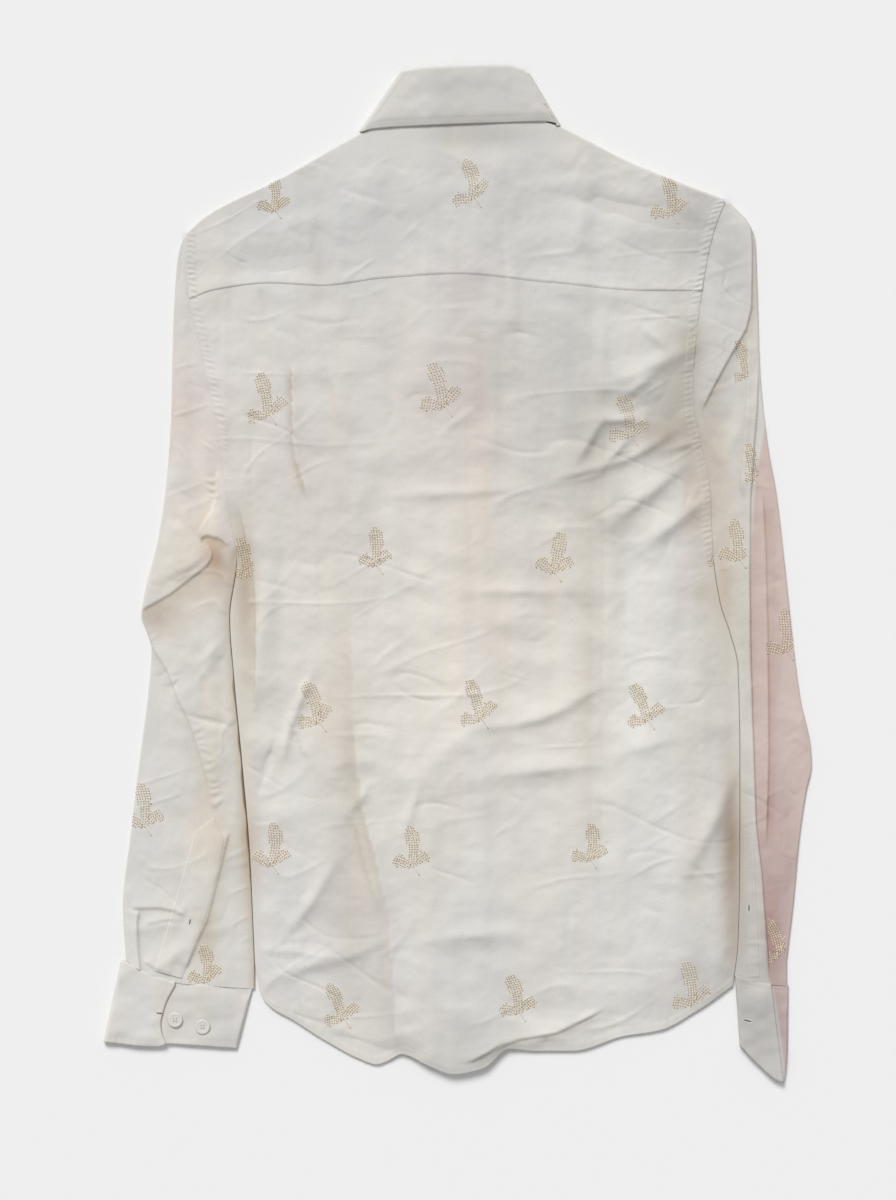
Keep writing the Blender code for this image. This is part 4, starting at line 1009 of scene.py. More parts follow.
def sprig(motif, rng):
    """Stitches of one sprig, as place, turn, size and tone: three leaves from one foot and a stem."""
    spots = []
    low_turn, high_turn = rng.uniform(156, 186), rng.uniform(34, 62)
    leaves = [
        ((2.0, -15.0), 101 + motif.tilt, rng.uniform(34, 37), 8.1, rng.uniform(-2.4, -0.4), 0.34),
        ((1.4, -14.5), low_turn + motif.tilt, rng.uniform(15.0, 17.0), 7.9, -0.8, 0.26),
        ((4.4, -12.5), high_turn + motif.tilt, rng.uniform(14.5, 16.5), 7.6, 0.8, 0.26),
    ]
    for (foot_x, foot_y), turn, length, half, bend, foot in leaves:
        angle = np.radians(turn)
        ahead = np.array([np.cos(angle), np.sin(angle)])
        left = np.array([-ahead[1], ahead[0]])
        for row in range(int(length / SEED_ROWS) + 1):
            for step in range(-6, 7):
                along = row * SEED_ROWS
                across = (step + 0.5 * (row % 2)) * SEED_PITCH
                curl = bend * np.sin(np.pi * along / length)
                if not in_leaf(along / length, across, half * rng.uniform(0.93, 1.03), foot):
                    continue
                spot = np.array([foot_x, foot_y]) + ahead * along + left * (across + 1.4 * curl)
                tone, rise = (LEAF_THREAD, 0.38) if row % 2 else (PALE_THREAD, 0.5)
                size = (LEAF_STITCH_LENGTH, LEAF_STITCH_WIDTH, rise)
                spots.append((spot + rng.uniform(-0.22, 0.22, 2), turn + 35, size, tone))
    for step in range(5):
        stem = np.array([4.0 + 0.9 * step, -14.5 - 1.3 * step])
        spots.append((stem, -55.0, (1.5, 0.6, 0.35), STEM_THREAD))
    spots.append((np.array([8.4, -20.8]), 0.0, (1.8, 1.5, 0.4), STEM_THREAD))
    return spots


def embroider(name, motifs, wanted, trees, material, seed):
    """The sprigs of one piece, each stitch seated on the cloth."""
    rng = np.random.default_rng(seed)
    spots, sizes, colours = [], [], []
    for motif in motifs:
        for offset, turn, size, tone in sprig(motif, rng):
            x, y = np.array([motif.x, motif.y]) + offset * motif.size
            found = seat(trees, x, y, wanted)
            if not found or not motif.left < x < motif.right:
                continue
            angle = np.radians(turn)
            spots.append((found[0], found[1], (np.cos(angle), np.sin(angle), 0.0)))
            sizes.append(np.array(size) * rng.uniform(0.85, 1.12))
            colours.append(np.array(tone) * rng.uniform(0.9, 1.1))
    scatter(name, SEED_DOME, spots, sizes, colours, material)


COLLAR_CLOTH = 1.2
LEAF_BACK = 6.8
LEAF_FRONT = 0.6
COLLAR_TURN = 8
LEFT_LEAF = {"end": (-10, 271), "point": (-57, 224), "roll": (-46.5, 401.0), "side": (-79, 354)}
RIGHT_LEAF = {"end": (12, 272), "point": (62, 227), "roll": (57.0, 401.0), "side": (82, 359)}
LEAF_TOP = [(-49, 401.5), (-22, 405.5), (8, 406.5), (37, 407.3), (60, 401.0)]
LEAF_LOW = [(-80, 353.0), (-68, 356.5), (-20, 359.5), (35, 361.5), (70, 362.5), (83, 360.0)]


def turn_points(start, end, outward):
    """Points of a half-round turn from start to end, without the two ends."""
    start, end = np.array(start, float), np.array(end, float)
    middle, arm = (start + end) / 2, (start - end) / 2
    radius = np.linalg.norm(arm)
    angles = np.linspace(0, np.pi, COLLAR_TURN + 1)[1:-1]
    return [middle + arm * np.cos(a) + np.array([outward, 0, 0]) * radius * np.sin(a) for a in angles]


def collar_columns(front_cells, back_cells, inset, front_z, back_z, past_end=0.0):
    """Top and lower points of the columns, from the left front end round the back to the right."""
    radius = (back_z - front_z) / 2

    def corner(leaf, key, sign):
        x, y = leaf[key]
        return np.array([x - sign * (radius + inset), y, front_z])

    rise = np.array([0, 0, back_z - front_z])
    left_top, left_low = corner(LEFT_LEAF, "roll", -1), corner(LEFT_LEAF, "side", -1)
    right_top, right_low = corner(RIGHT_LEAF, "roll", 1), corner(RIGHT_LEAF, "side", 1)
    left_end = np.array([LEFT_LEAF["end"][0] + past_end, LEFT_LEAF["end"][1], front_z])
    right_end = np.array([RIGHT_LEAF["end"][0] - past_end, RIGHT_LEAF["end"][1], front_z])
    left_point = np.array([*LEFT_LEAF["point"], front_z])
    right_point = np.array([*RIGHT_LEAF["point"], front_z])
    columns = []
    for t in np.linspace(0, 1, front_cells + 1):
        columns.append((blend(left_end, left_top, t), blend(left_point, left_low, t)))
    columns += zip(turn_points(left_top, left_top + rise, -1), turn_points(left_low, left_low + rise, -1))
    for t in np.linspace(0, 1, back_cells + 1):
        columns.append((blend(left_top, right_top, t) + rise, blend(left_low, right_low, t) + rise))
    columns += zip(turn_points(right_top + rise, right_top, 1), turn_points(right_low + rise, right_low, 1))
    for t in np.linspace(0, 1, front_cells + 1):
        columns.append((blend(right_top, right_end, t), blend(right_low, right_point, t)))
    return columns


LEAF_FRONT_CELLS = 14
LEAF_BACK_CELLS = 130
LEAF_ROWS = 48
LEAF_STITCH_IN = 5.0
ROLL_ROWS = 6
LEAF_FOLDS = rows_of(Fold, [(-58, 366, -30, 396, 0, 5, 8, 0.5), (20, 395, 60, 385, 0, 6, 6, 0.5)])


def collar_leaf(linen):
    """The turned-down leaf: flat over the back, folded round both sides to the points in front."""
    columns = collar_columns(LEAF_FRONT_CELLS, LEAF_BACK_CELLS, 0, LEAF_FRONT, LEAF_BACK)
    first_back = LEAF_FRONT_CELLS + COLLAR_TURN - 1
    last_back = first_back + LEAF_BACK_CELLS + 1
    roll = (LEAF_BACK - COVER_OVER_COLLAR) / 2
    points = np.zeros((LEAF_ROWS + 1 + ROLL_ROWS, len(columns), 3))
    for index, (top, low) in enumerate(columns):
        in_back = first_back < index < last_back
        if in_back:
            top = np.array([top[0], curve(LEAF_TOP, top[0]) - roll, top[2]])
            low = np.array([low[0], curve(LEAF_LOW, low[0]), low[2]])
        for row in range(LEAF_ROWS + 1):
            points[row, index] = blend(low, top, row / LEAF_ROWS)
        for step in range(1, ROLL_ROWS + 1):
            angle = np.pi * step / ROLL_ROWS
            reach = roll if in_back else 0.0
            shift = np.array([0, reach * np.sin(angle), -reach * (1 - np.cos(angle))])
            points[LEAF_ROWS + step, index] = top + shift
    x, y = points[..., 0], points[..., 1]
    upper = points[..., 2] > (LEAF_BACK + LEAF_FRONT) / 2 + 2
    upper[LEAF_ROWS + 1:] = False
    above = y - curve(LEAF_LOW, x)
    below_roll = curve(LEAF_TOP, np.clip(x, -46, 57)) - y
    left_in = (x - blend(-79.0, -46.5, (y - 354) / 47)) * 0.82
    right_in = (blend(82.0, 57.0, (y - 359) / 42) - x) * 0.86
    nearest = np.minimum(np.minimum(above, left_in), right_in)
    lift = 1.0 * rounded(np.minimum(nearest, below_roll) / 16) - 0.25 * (1 - rounded(nearest / 1.6))
    lift -= 0.16 * np.exp(-(((nearest - LEAF_STITCH_IN) / 0.9) ** 2))
    lift -= 1.3 * np.exp(-((above / 5.0) ** 2))
    lift += 0.55 * soft_noise(x, y, 34, 12, 61, 6) + 0.28 * soft_noise(x, y, 9, 7, 62)
    lift += fold_height(LEAF_FOLDS, x, y)
    points[..., 2] += np.where(upper, lift, 0.0)
    return cloth_grid(
        "collar_cloth", points, linen, "collar_leaf", shell=COLLAR_CLOTH
    )


STAND_INSET = 3.4
STAND_DROP = 3.0
STAND_CLEARANCE = 3.0
STAND_FRONT_CELLS = 14
STAND_BACK_CELLS = 40
STAND_ROWS = 6
STAND_CLOTH = 1.0
STAND_OVERLAP = 9.0
STAND_NECK_END_Y = 352.0
PLACKET_LAYER = 2.65
BAND_LAYER = 4.05
STAND_CROSSED = 4
NECKLINE = [(240, 16.0), (248, 26.0), (264, 43.0), (290, 57.0), (330, 66.0), (360, 70.0)]
NECK_BOTTOM = NECKLINE[0][0]


def collar_stand(linen):
    """The band inside the leaf, its ends crossed at the front over the collar button."""
    past_end = STAND_OVERLAP - LEFT_LEAF["end"][0]
    columns = collar_columns(
        STAND_FRONT_CELLS, STAND_BACK_CELLS, STAND_INSET, TURN_LAYER, COVER_OVER_COLLAR, past_end
    )
    count = len(columns)
    first_back = STAND_FRONT_CELLS + COLLAR_TURN - 1
    last_back = first_back + STAND_BACK_CELLS + 2
    points = np.zeros((STAND_ROWS + 1, count, 3))
    for index, (top, _) in enumerate(columns):
        from_end = min(index, count - 1 - index)
        if first_back < index < last_back:
            x = top[0] * 1.18
            neck = np.array([x, curve(SHOULDER, x) + 0.6, top[2]])
        else:
            sign = -1 if index <= first_back else 1
            share = np.clip((from_end - 2) / (2 * STAND_FRONT_CELLS / 2 - 2), 0.0, 1.0)
            neck_y = blend(NECK_BOTTOM + STAND_CLEARANCE, STAND_NECK_END_Y, share**0.8)
            edge_x = curve(NECKLINE, neck_y) - STAND_CLEARANCE
            x = blend(-STAND_OVERLAP, edge_x, np.clip(from_end / 2, 0, 1))
            neck = np.array([sign * x, neck_y, top[2]])
        reach = top - neck
        upper = top - reach / np.linalg.norm(reach) * STAND_DROP
        crossed = 1 - eased((from_end - 2) / STAND_CROSSED)
        layer = PLACKET_LAYER if index <= first_back else BAND_LAYER
        for row in range(STAND_ROWS + 1):
            point = blend(neck, upper, row / STAND_ROWS)
            point[2] = blend(point[2], layer, crossed)
            points[row, index] = point
    return cloth_grid(
        "stand_cloth", points, linen, "collar_stand", shell=STAND_CLOTH
    )


BAND_WIDTH = 32.0
FRONT_CLOTH = 0.9
PLACKET_COLUMNS = 12
PLACKET_ROWS = 120
FRONT_COLUMNS = 56
FRONT_BAND_COLUMNS = 10
FRONT_ROWS = 110
FRONT_NECK_ROWS = 44
FRONT_NECK_FROM = 195.0
FRONT_HEM_INSET = 5.0
HIDDEN_SEAM = 1.2
COLLAR_BUTTON_Y = 259.0


def front(name, linen, side, sign, inner_x, over_band):
    """One front, from its side seam to its band, and from the yoke to the hem."""
    slope_start = sign * (BAND_WIDTH / 2 + 2)
    band_share = abs(slope_start - inner_x) / 235
    outer_share = np.linspace(0, 1 - band_share, FRONT_COLUMNS + 1)
    inner_share = np.linspace(1 - band_share, 1, FRONT_BAND_COLUMNS + 1)[1:]
    u = np.concatenate([outer_share, inner_share])
    hem_x = blend(curve(side, -400.0), inner_x, u)
    low_y = curve(HEM, hem_x) + FRONT_HEM_INSET * rounded(u)
    top_y = curve(SHOULDER, blend(sign * 215.5, sign * 70.0, u)) - 30.0 - HIDDEN_SEAM
    rows = []
    for row in range(FRONT_ROWS + FRONT_NECK_ROWS + 1):
        if row <= FRONT_ROWS:
            y = blend(low_y, FRONT_NECK_FROM, row / FRONT_ROWS)
        else:
            y = blend(FRONT_NECK_FROM, top_y, (row - FRONT_ROWS) / FRONT_NECK_ROWS)
        neck_x = sign * (curve(NECKLINE, y) + HIDDEN_SEAM)
        inner = np.where(y <= NECK_BOTTOM, inner_x, neck_x)
        x = blend(curve(side, y) - sign * HIDDEN_SEAM, inner, u)
        z = front_layer(x, y, over_band)
        in_band = (u >= 1 - band_share) & (y < COLLAR_BUTTON_Y)
        z = np.where(in_band, np.maximum(z, over_band), z)
        relief = 0.12 * soft_noise(x, y, 40, 12, 71) * (z > FLOOR_LAYER + 0.4)
        rows.append(np.stack([x, y, z + relief], axis=1))
    cloth_grid(name + "_cloth", np.stack(rows), linen, name, shell=FRONT_CLOTH)


def front_placket(linen):
    """The buttonhole placket, sewn to the left front's edge and lying on the buttons."""
    u = np.linspace(0, 1, PLACKET_COLUMNS + 1)
    x = blend(-BAND_WIDTH / 2 + 0.3, BAND_WIDTH / 2, u)
    low_y = curve(HEM, x) + FRONT_HEM_INSET
    rows = []
    for row in range(PLACKET_ROWS + 1):
        y = blend(low_y, NECK_BOTTOM - 0.3, row / PLACKET_ROWS)
        rows.append(np.stack([x, y, PLACKET_LAYER + 0 * x], axis=1))
    cloth_grid(
        "front_placket_cloth", np.stack(rows), linen, "front_placket", shell=FRONT_CLOTH
    )


LEFT_CUFF = rows_of(CuffEdge, [
    (-226.0, -238.5, -376.0), (-269.5, -283.4, -374.5), (-165.0, -177.5, -379.5),
    (-233.0, -244.0, -378.0),
])
RIGHT_CUFF = rows_of(CuffEdge, [
    (250.5, 260.5, -406.5), (222.2, 226.0, -377.0), (264.2, 263.6, -380.0), (230.0, 240.0, -392.0),
])
CUFF_CLOTH = 1.3
CUFF_SHELL = CUFF_CLOTH * 0.85
CUFF_GAP = 0.6
CUFF_ROWS = 44
CUFF_TURN = 8
CUFF_STITCH_IN = 5.0
OVERLAP_LINE = [(-374.4, -237.4), (-350.7, -232.2), (-327, -227)]
OVERLAP_BOW = [(-376, 5.0), (-367, -0.8), (-356, -4.1), (-344, -3.7), (-330, 0.0)]


def cuff_low_edge(edges):
    return [(edge.low_x, edge.low_y) for edge in edges]


def wound_path(stations, lifts, steps):
    """Points of a flattened spiral: straight layers between stations, half-round turns between layers."""
    points = []
    for k, (start, end) in enumerate(zip(stations[:-1], stations[1:])):
        way = 1 if end > start else -1
        inset_start = abs(lifts[k] - lifts[k - 1]) / 2 if k else 0.0
        inset_end = abs(lifts[k + 1] - lifts[k]) / 2 if k + 1 < len(lifts) else 0.0
        for t in np.linspace(0, 1, steps[k] + 1):
            points.append((blend(start + way * inset_start, end - way * inset_end, t), lifts[k], k))
        if k + 1 < len(lifts):
            middle = (lifts[k] + lifts[k + 1]) / 2
            centre = end - way * inset_end
            for angle in np.linspace(0, np.pi, CUFF_TURN + 1)[1:-1]:
                x = centre + way * inset_end * np.sin(angle)
                points.append((x, middle + (lifts[k] - middle) * np.cos(angle), -1))
    return points


def cuff(name, linen, node_name, edges, seam, steps, top_layers, colours, seed, bow=None):
    """A cuff wound flat: its outer leaf on top, then the layer on the surface, then its other end."""
    low = CUFF_CLOTH / 2
    step = CUFF_CLOTH + CUFF_GAP
    lifts = [low + 2 * step, low, low + step]
    top_path = wound_path([edge.top_x for edge in edges], lifts, steps)
    low_path = wound_path([edge.low_x for edge in edges], lifts, steps)
    top_x = np.array([point[0] for point in top_path])
    low_x = np.array([point[0] for point in low_path])
    z = np.array([point[1] for point in top_path])
    layer = np.array([point[2] for point in top_path])
    v = np.linspace(0, 1, CUFF_ROWS + 1)[:, None]
    low_y = curve(cuff_low_edge(edges), low_x)[None, :]
    seam_y = curve(seam, top_x)[None, :] + 0.3
    x = blend(low_x[None, :], top_x[None, :], v)
    y = blend(low_y, seam_y, v)
    if bow:
        line = curve(OVERLAP_LINE, y)
        x = x + curve(bow, y) * np.exp(-(((x - line) / 12) ** 2))
    lengths = np.cumsum(np.hypot(np.diff(low_x), np.diff(z)))
    along = np.concatenate([[0], lengths])[None, :] + 0 * v
    from_low, from_top = (y - low_y), (seam_y - y)
    from_end = np.minimum(along, along[:, -1:] - along)
    nearest = np.minimum(np.minimum(from_low, from_top), from_end)
    lift = 0.55 * rounded(nearest / 12) - 0.22 * (1 - rounded(nearest / 1.4))
    for line in (from_low, from_end, from_top):
        lift -= 0.14 * np.exp(-(((line - CUFF_STITCH_IN) / 0.8) ** 2))
    lift += 0.90 * soft_noise(x, y, 24, 14, seed, 15) + 0.42 * soft_noise(x, y, 9, 7, seed + 1)
    wander = 2 * soft_noise(x, y, 20, 20, seed + 2)
    lift += 0.10 * np.sin(2 * np.pi * along / 6.0 + wander) * np.exp(-from_low / 7)
    shown = np.isin(layer, top_layers)[None, :]
    z = z[None, :] + np.where(shown, lift, 0.0)
    points = np.stack([x, y, z], axis=2)
    tones = colours(points) if colours else None
    return cloth_grid(name, points, linen, node_name, colours=tones, shell=CUFF_SHELL)


LEFT_PLACKET = Strip((-195, -194), 15.0, (-231.5, -320.0), 23.0, 0.9, 4.6)
RIGHT_PLACKET = Strip((231.5, -196), 12.0, (237.0, -322.0), 9.0, 0.5, 0.0)
STRIP_COLUMNS = 24
STRIP_ROWS = 110


def sleeve_placket(name, linen, node_name, tree, shape):
    """The pointed strip sewn over the sleeve's slit."""
    top, low = np.array(shape.top, float), np.array(shape.low, float)
    length = np.linalg.norm(low - top)
    along = (low - top) / length
    across = np.array([-along[1], along[0]])
    points = np.zeros((STRIP_ROWS + 1, STRIP_COLUMNS + 1, 3))
    for row in range(STRIP_ROWS + 1):
        distance = length * (1 - row / STRIP_ROWS)
        half = shape.width / 2 * max(min(distance / shape.shoulder, 1.0), 0.05)
        for column in range(STRIP_COLUMNS + 1):
            s = column / STRIP_COLUMNS * 2 - 1
            bulge = shape.bulge * max(s, 0.0) * np.sin(np.pi * distance / length)
            x, y = top + along * distance + across * (s * half + bulge)
            hit = tree.ray_cast(*straight_down(x, y))[0]
            seat_z = hit.z / MM if hit is not None else points[row - 1, column, 2]
            edge = min(half * (1 - abs(s)), distance)
            groove = 0.25 * float(np.exp(-(((edge - 1.8) / 0.6) ** 2)))
            lift = shape.lift * float(rounded(edge / 1.2)) - groove
            points[row, column] = (x, y, max(seat_z, TURN_LAYER) + lift)
    points[..., 2] += 0.12 * soft_noise(points[..., 0], points[..., 1], 8, 8, 91)
    return cloth_grid(name, points, linen, node_name)


def button_material():
    """Pale pearly plastic."""
    material, tree, shader = principled("pearl_button", Roughness=0.4, Coat_Weight=0.15)
    place_in = node(tree, "ShaderNodeTexCoord")
    cloud = node(tree, "ShaderNodeTexNoise", Scale=260.0, Detail=2.0, Distortion=1.5)
    link(tree, place_in, "Object", cloud, "Vector")
    ramp = ramp_node(tree, [(0.0, (0.66, 0.64, 0.60)), (1.0, (0.75, 0.73, 0.69))])
    link(tree, cloud, "Fac", ramp, "Fac")
    link(tree, ramp, "Color", shader, "Base Color")
    return material


BUTTON_SIDES = 48
BUTTON_FACE = 1.25
HOLE_OFFSET = 1.1
# The buttons' four holes are painted shade: flat dark discs on the face
HOLE_SHADE_TONE = (0.40, 0.37, 0.32)
BUTTON_DIAMETER = 11.0
FIRST_BUTTON_Y = 196.0
BUTTON_PITCH = 87.0
CUFF_BUTTON_DIAMETER = 12.0
CUFF_BUTTON_SEAT = 3.5


def button(name, pearl, thread, x, y, z, diameter):
    """A turned shirt button with a raised rim, four holes painted as dark discs of shade, and a cross of
    thread.
    """
    radius = diameter / 2
    profile = [
        (0.0, BUTTON_FACE), (0.30, BUTTON_FACE), (0.55, 1.27), (0.66, 1.34), (0.74, 1.46), (0.82, 1.5),
        (0.92, 1.42), (0.98, 1.2), (1.0, 0.95), (0.99, 0.65), (0.93, 0.35), (0.80, 0.08), (0.60, 0.0),
        (0.0, 0.0),
    ]
    angles = np.linspace(0, 2 * np.pi, BUTTON_SIDES, endpoint=False)
    points = [(0.0, 0.0, profile[0][1])]
    for share, height in profile[1:-1]:
        points += [(share * radius * np.cos(a), share * radius * np.sin(a), height) for a in angles]
    points.append((0.0, 0.0, 0.0))
    faces = []
    rings = len(profile) - 2
    for side in range(BUTTON_SIDES):
        after = (side + 1) % BUTTON_SIDES
        faces.append((0, 1 + side, 1 + after))
        for ring in range(rings - 1):
            low = 1 + ring * BUTTON_SIDES
            faces.append((low + side, low + BUTTON_SIDES + side, low + BUTTON_SIDES + after, low + after))
        last = 1 + (rings - 1) * BUTTON_SIDES
        faces.append((last + after, last + side, len(points) - 1))
    made = mesh_object(name + "_look", place(np.array(points) + np.array([x, y, z])), faces)
    made.data.materials.append(pearl)
    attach(made, "root")
    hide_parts(name)
    spots, sizes = [], []
    for dx, dy in ((-1, -1), (1, -1), (1, 1), (-1, 1)):
        centre = place(np.array([x + dx * HOLE_OFFSET, y + dy * HOLE_OFFSET, z + BUTTON_FACE]))
        spots.append((centre, (0, 0, 1), (1, 0, 0)))
        sizes.append((1.5, 1.5, 0.06))
    for turn in (45, 135):
        centre = place(np.array([x, y, z + 1.3]))
        spots.append((centre, (0, 0, 1), (np.cos(np.radians(turn)), np.sin(np.radians(turn)), 0)))
        sizes.append((3.4, 0.8, 0.30))
    colours = [HOLE_SHADE_TONE] * 4 + [THREAD_TONE] * 2
    scatter(name + "_thread", STITCH_DOME, spots, sizes, colours, thread)


YOKE_MOTIFS = rows_of(Motif, [(-149, 303, -8, 0.85), (10, 314, 0, 1.0), (168, 301, -4, 0.95)])
BACK_MOTIFS = rows_of(Motif, [
    (-154, 141, 0, 1.0), (-14, 149, 4, 1.1), (135, 124, 2, 1.0), (-170, 12, 0, 0.95, -180, -163.5),
    (-68, 20, -10, 0.95), (74, 15, -22, 1.0), (213, 20, 0, 0.95), (-114, -105, 6, 1.0),
    (16, -103, 4, 0.95), (149, -104, 10, 0.95), (-152, -219, -14, 1.0), (-39, -220, -8, 0.95),
    (103, -216, -14, 0.9), (-94, -344, 10, 0.9), (46, -338, 2, 0.95), (186, -331, -2, 1.0),
])
LEFT_SLEEVE_MOTIFS = rows_of(Motif, [(-259, 28, 0, 0.9), (-254, -188, -6, 1.0), (-204, -314, -8, 0.9)])
RIGHT_SLEEVE_MOTIFS = rows_of(Motif, [
    (229, 171, 6, 0.9, 221.0, 232.0), (235, 88, 0, 0.9, 229.6, 240), (222, 25, -6, 0.95, 200, 230.5),
    (260, -48, -10, 1.0), (256, -292, 10, 0.9, 248.5, 262),
])


def thread_material():
    """Twisted cotton thread."""
    material, tree, shader = principled("thread", Roughness=0.62, Specular_IOR_Level=0.35)
    tone = node(tree, "ShaderNodeAttribute", attribute_name="Tone")
    strand = node(tree, "ShaderNodeTexNoise", Scale=900.0, Detail=1.0)
    bump = node(tree, "ShaderNodeBump", Strength=0.3, Distance=0.0002)
    link(tree, tone, "Color", shader, "Base Color")
    link(tree, strand, "Fac", bump, "Height")
    link(tree, bump, "Normal", shader, "Normal")
    return material


PINK_FROM = [
    (200, 262.0), (140, 250.0), (60, 237.0), (0, 234.0), (-52, 233.0), (-139, 236.0), (-200, 238.0),
    (-243, 243.0), (-278, 245.5), (-324, 249.0), (-328, 251.0), (-404, 262.5),
]
PINK = np.array([-0.070, -0.165, -0.155])


def right_tones(points):
    """The right sleeve: painted shade on the lower sides of its steps, and its outer half painted pinker and
    darker.
    """
    x, y = points[..., 0], points[..., 1]
    pink_share = eased((x - curve(PINK_FROM, y)) / 3.0 + 0.5)
    return np.clip(tint_of(points, RIGHT_STEPS) + pink_share[..., None] * PINK, 0, 1)


def left_tones(points):
    """Tone of the left sleeve: painted shade under its own folds' steps, painted brown shade beside the
    body's edge, and a painted dark gap shadow along that edge lower down.
    """
    x, y = points[..., 0], points[..., 1]
    from_body = curve(LEFT_SIDE, y) - x
    # Painted brown shade along the body's edge, below the armpit
    near = np.exp(-((from_body / 5.5) ** 2)) * eased((26 - y) / 12)
    # A painted dark gap shadow of uneven width right at the body's edge, from the elbow down to the cuff
    open_by = 1.9 + 1.7 * soft_noise(x, y, 20, 15, 67)
    painted_gap_shade = eased((open_by - from_body) / 1.2) * eased((-30 - y) / 90) * eased((y + 262) / 30)
    tone = tint_of(points, LEFT_STEPS) * (1 - near[..., None] * np.array([0.14, 0.20, 0.28]))
    return tone * (1 - painted_gap_shade[..., None] * np.array([0.54, 0.62, 0.70]))


def offset_path(rows, ys, shift):
    return np.stack([curve(rows, ys) + shift, ys], axis=1)


def sewing(trees, thread):
    """Rows of stitches on the seams, the hem and the edges that show."""
    lines = []
    for side, top_y, inward in ((LEFT_SIDE, 270, 1), (RIGHT_SIDE, 300, -1)):
        for shift in (FELL_WIDTH - 1, 1.2):
            path = offset_path(side, np.linspace(top_y, 14, 80), inward * shift)
            lines.append((("back", "yoke"), path))
    hem_x = np.linspace(-160, 218, 260)
    lines.append((("back",), np.stack([hem_x, curve(HEM, hem_x) + HEM_WIDTH - 0.8], axis=1)))
    seam_x = np.linspace(-213, 196, 200)
    lines.append((("yoke",), np.stack([seam_x, curve(YOKE_SEAM, seam_x) + 1.6], axis=1)))
    leaf_x = np.linspace(-72, 76, 100)
    lines.append((("collar",), np.stack([leaf_x, curve(LEAF_LOW, leaf_x) + LEAF_STITCH_IN], axis=1)))
    lines.append((("collar",), [(-73.5, 361), (-45.5, 400)]))
    lines.append((("collar",), [(76.5, 366), (56.5, 399)]))
    cuffs = [("left_cuff", LEFT_CUFF, LEFT_CUFF_SEAM), ("right_cuff", RIGHT_CUFF, RIGHT_CUFF_SEAM)]
    for piece, edges, seam in cuffs:
        ends = [edge.low_x for edge in edges]
        low_x = np.linspace(min(ends) + 4, max(ends) - 4, 60)
        low_y = curve(cuff_low_edge(edges), low_x) + CUFF_STITCH_IN
        lines.append(((piece,), np.stack([low_x, low_y], axis=1)))
        ends = [edge.top_x for edge in edges]
        top_x = np.linspace(min(ends) + 3, max(ends) - 3, 60)
        for inward in (2.2, CUFF_STITCH_IN + 0.5):
            lines.append(((piece,), np.stack([top_x, curve(seam, top_x) - inward], axis=1)))
    lines += [(("left_strip",), path) for path in strip_lines(LEFT_PLACKET, 1.8)]
    lines += [(("right_strip",), path) for path in strip_lines(RIGHT_PLACKET, 1.5)]
    lines.append((("left_strip",), [(-208, -222.5), (-189.5, -226.5)]))
    lines.append((("left_strip",), [(-208.5, -225.5), (-190, -229.5)]))
    lines.append((("right_strip",), [(228.5, -210), (235.5, -210)]))
    sew("seam_stitches", lines, trees, thread)


def strip_lines(shape, inward):
    """The stitch lines along both edges of a sleeve placket, up to its point."""
    top, low = np.array(shape.top, float), np.array(shape.low, float)
    along = (low - top) / np.linalg.norm(low - top)
    across = np.array([-along[1], along[0]])
    half = shape.width / 2 - inward
    paths = []
    for side in (-1, 1):
        shoulder = top + along * (shape.shoulder + 0.6 * inward) + side * half * across
        middle = (top + low) / 2 + side * half * across + max(side, 0) * shape.bulge * across
        paths.append([top + along * 2.2 * inward, shoulder, middle, low - along * 3 + side * half * across])
    return paths


def buttonholes(trees, thread):
    """Worked buttonholes: a slit painted as a dark strip of shade inside a close row of stitches on each
    side.
    """
    spots, sizes, colours = [], [], []
    for wanted, x, y, turn, length in BUTTONHOLES:
        angle = np.radians(turn)
        ahead = np.array([np.cos(angle), np.sin(angle)])
        left = np.array([-ahead[1], ahead[0]])
        point, normal = seat(trees, x, y, (wanted,))
        spots.append((point, normal, (ahead[0], ahead[1], 0.0)))
        sizes.append((length, 1.1, 0.16))
        colours.append(SLIT_SHADE_TONE)
        for side in (-1, 1):
            for step in np.arange(-length / 2, length / 2 + 0.1, 0.8):
                place_x, place_y = np.array([x, y]) + ahead * step + left * side * 1.15
                point, normal = seat(trees, place_x, place_y, (wanted,))
                spots.append((point, normal, (left[0], left[1], 0.0)))
                sizes.append((1.3, 0.6, 0.22))
                colours.append(THREAD_TONE)
    scatter("buttonholes", STITCH_DOME, spots, sizes, colours, thread)


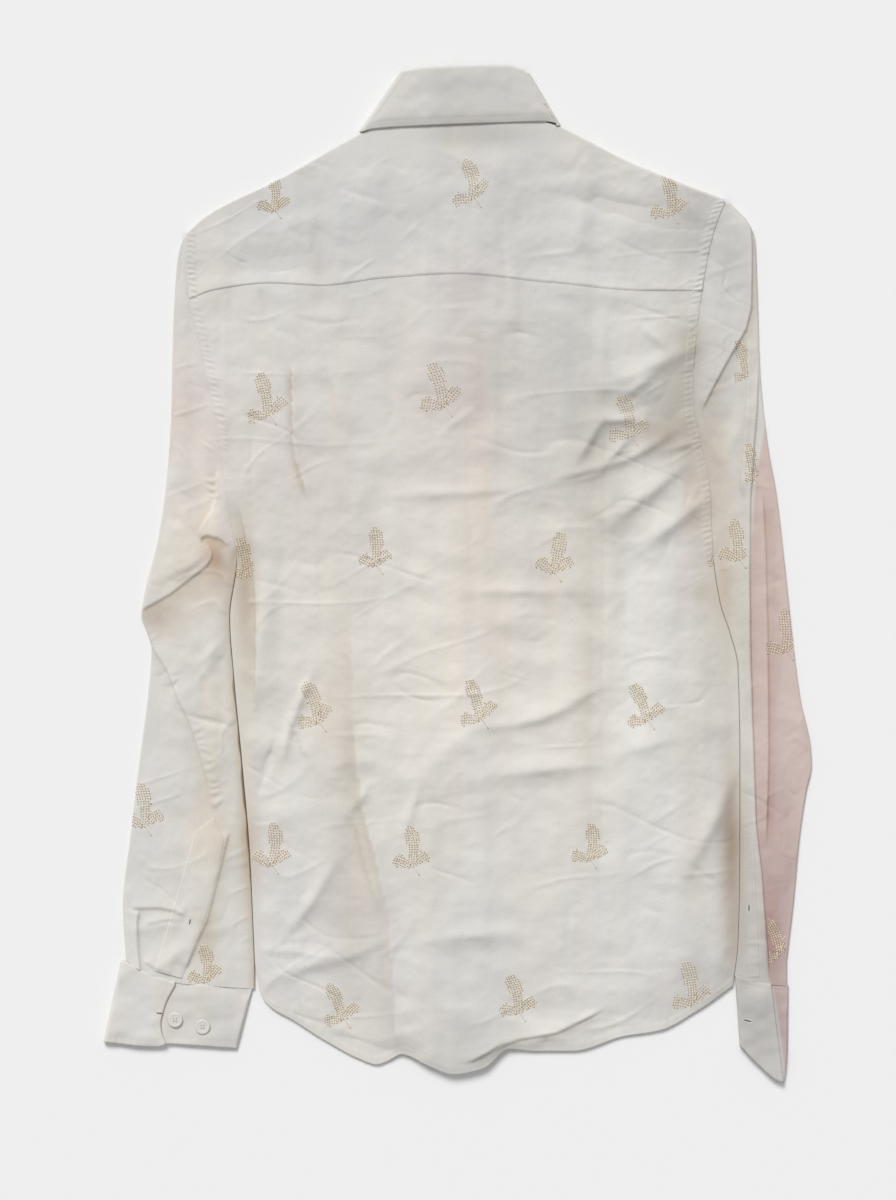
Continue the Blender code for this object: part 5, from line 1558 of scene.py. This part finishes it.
def main():
    camera()
    stage_and_light()
    linen = linen_material()
    thread = thread_material()
    pearl = button_material()
    back = back_panel(linen)
    yoke_cloth = yoke(linen)
    left = sleeve(
        "left_sleeve_cloth", linen, "left_sleeve", LEFT_SIDE, LEFT_SLEEVE, LEFT_CUFF_SEAM,
        LEFT_SLEEVE_FOLDS, LEFT_STEPS, [UNDERARM, ARMPIT], -1, 31,
        colours=left_tones,
    )
    right = sleeve(
        "right_sleeve_cloth", linen, "right_sleeve", RIGHT_SIDE, RIGHT_SLEEVE, RIGHT_CUFF_SEAM,
        RIGHT_SLEEVE_FOLDS, RIGHT_STEPS, [], 1, 41, colours=right_tones,
    )
    leaf = collar_leaf(linen)
    collar_stand(linen)
    front("left_front", linen, LEFT_SIDE, -1, -BAND_WIDTH / 2 - 0.3, PLACKET_LAYER)
    front("right_front", linen, RIGHT_SIDE, 1, -BAND_WIDTH / 2, BAND_LAYER)
    front_placket(linen)
    left_cuff = cuff(
        "left_cuff_cloth", linen, "left_cuff", LEFT_CUFF, LEFT_CUFF_SEAM, [40, 90, 60], [0, 2],
        None, 81, OVERLAP_BOW,
    )
    right_cuff = cuff(
        "right_cuff_cloth", linen, "right_cuff", RIGHT_CUFF, RIGHT_CUFF_SEAM, [40, 40, 36], [0, 2],
        right_tones, 84,
    )
    left_strip = sleeve_placket(
        "left_placket_cloth", linen, "left_sleeve_placket", tree_of(left), LEFT_PLACKET
    )
    right_strip = sleeve_placket(
        "right_placket_cloth", linen, "right_sleeve_placket", tree_of(right), RIGHT_PLACKET
    )
    for index in range(6):
        y = FIRST_BUTTON_Y - index * BUTTON_PITCH
        button(f"front_button_{index + 1}", pearl, thread, 0, y, 0, BUTTON_DIAMETER)
    button("collar_button", pearl, thread, 0, COLLAR_BUTTON_Y, 0, BUTTON_DIAMETER)
    button("left_cuff_button_1", pearl, thread, -226.4, -356.5, CUFF_BUTTON_SEAT, CUFF_BUTTON_DIAMETER)
    button("left_cuff_button_2", pearl, thread, -204.4, -362.0, CUFF_BUTTON_SEAT, CUFF_BUTTON_DIAMETER)
    named = {
        "back": back, "yoke": yoke_cloth, "left": left, "right": right, "collar": leaf,
        "left_cuff": left_cuff, "right_cuff": right_cuff, "left_strip": left_strip,
        "right_strip": right_strip,
    }
    trees = {name: tree_of(made) for name, made in named.items()}
    sewing(trees, thread)
    buttonholes(trees, thread)
    embroider("back_embroidery", BACK_MOTIFS, ("back",), trees, thread, 101)
    embroider("yoke_embroidery", YOKE_MOTIFS, ("yoke",), trees, thread, 102)
    embroider("left_sleeve_embroidery", LEFT_SLEEVE_MOTIFS, ("left",), trees, thread, 103)
    embroider("right_sleeve_embroidery", RIGHT_SLEEVE_MOTIFS, ("right",), trees, thread, 104)


main()
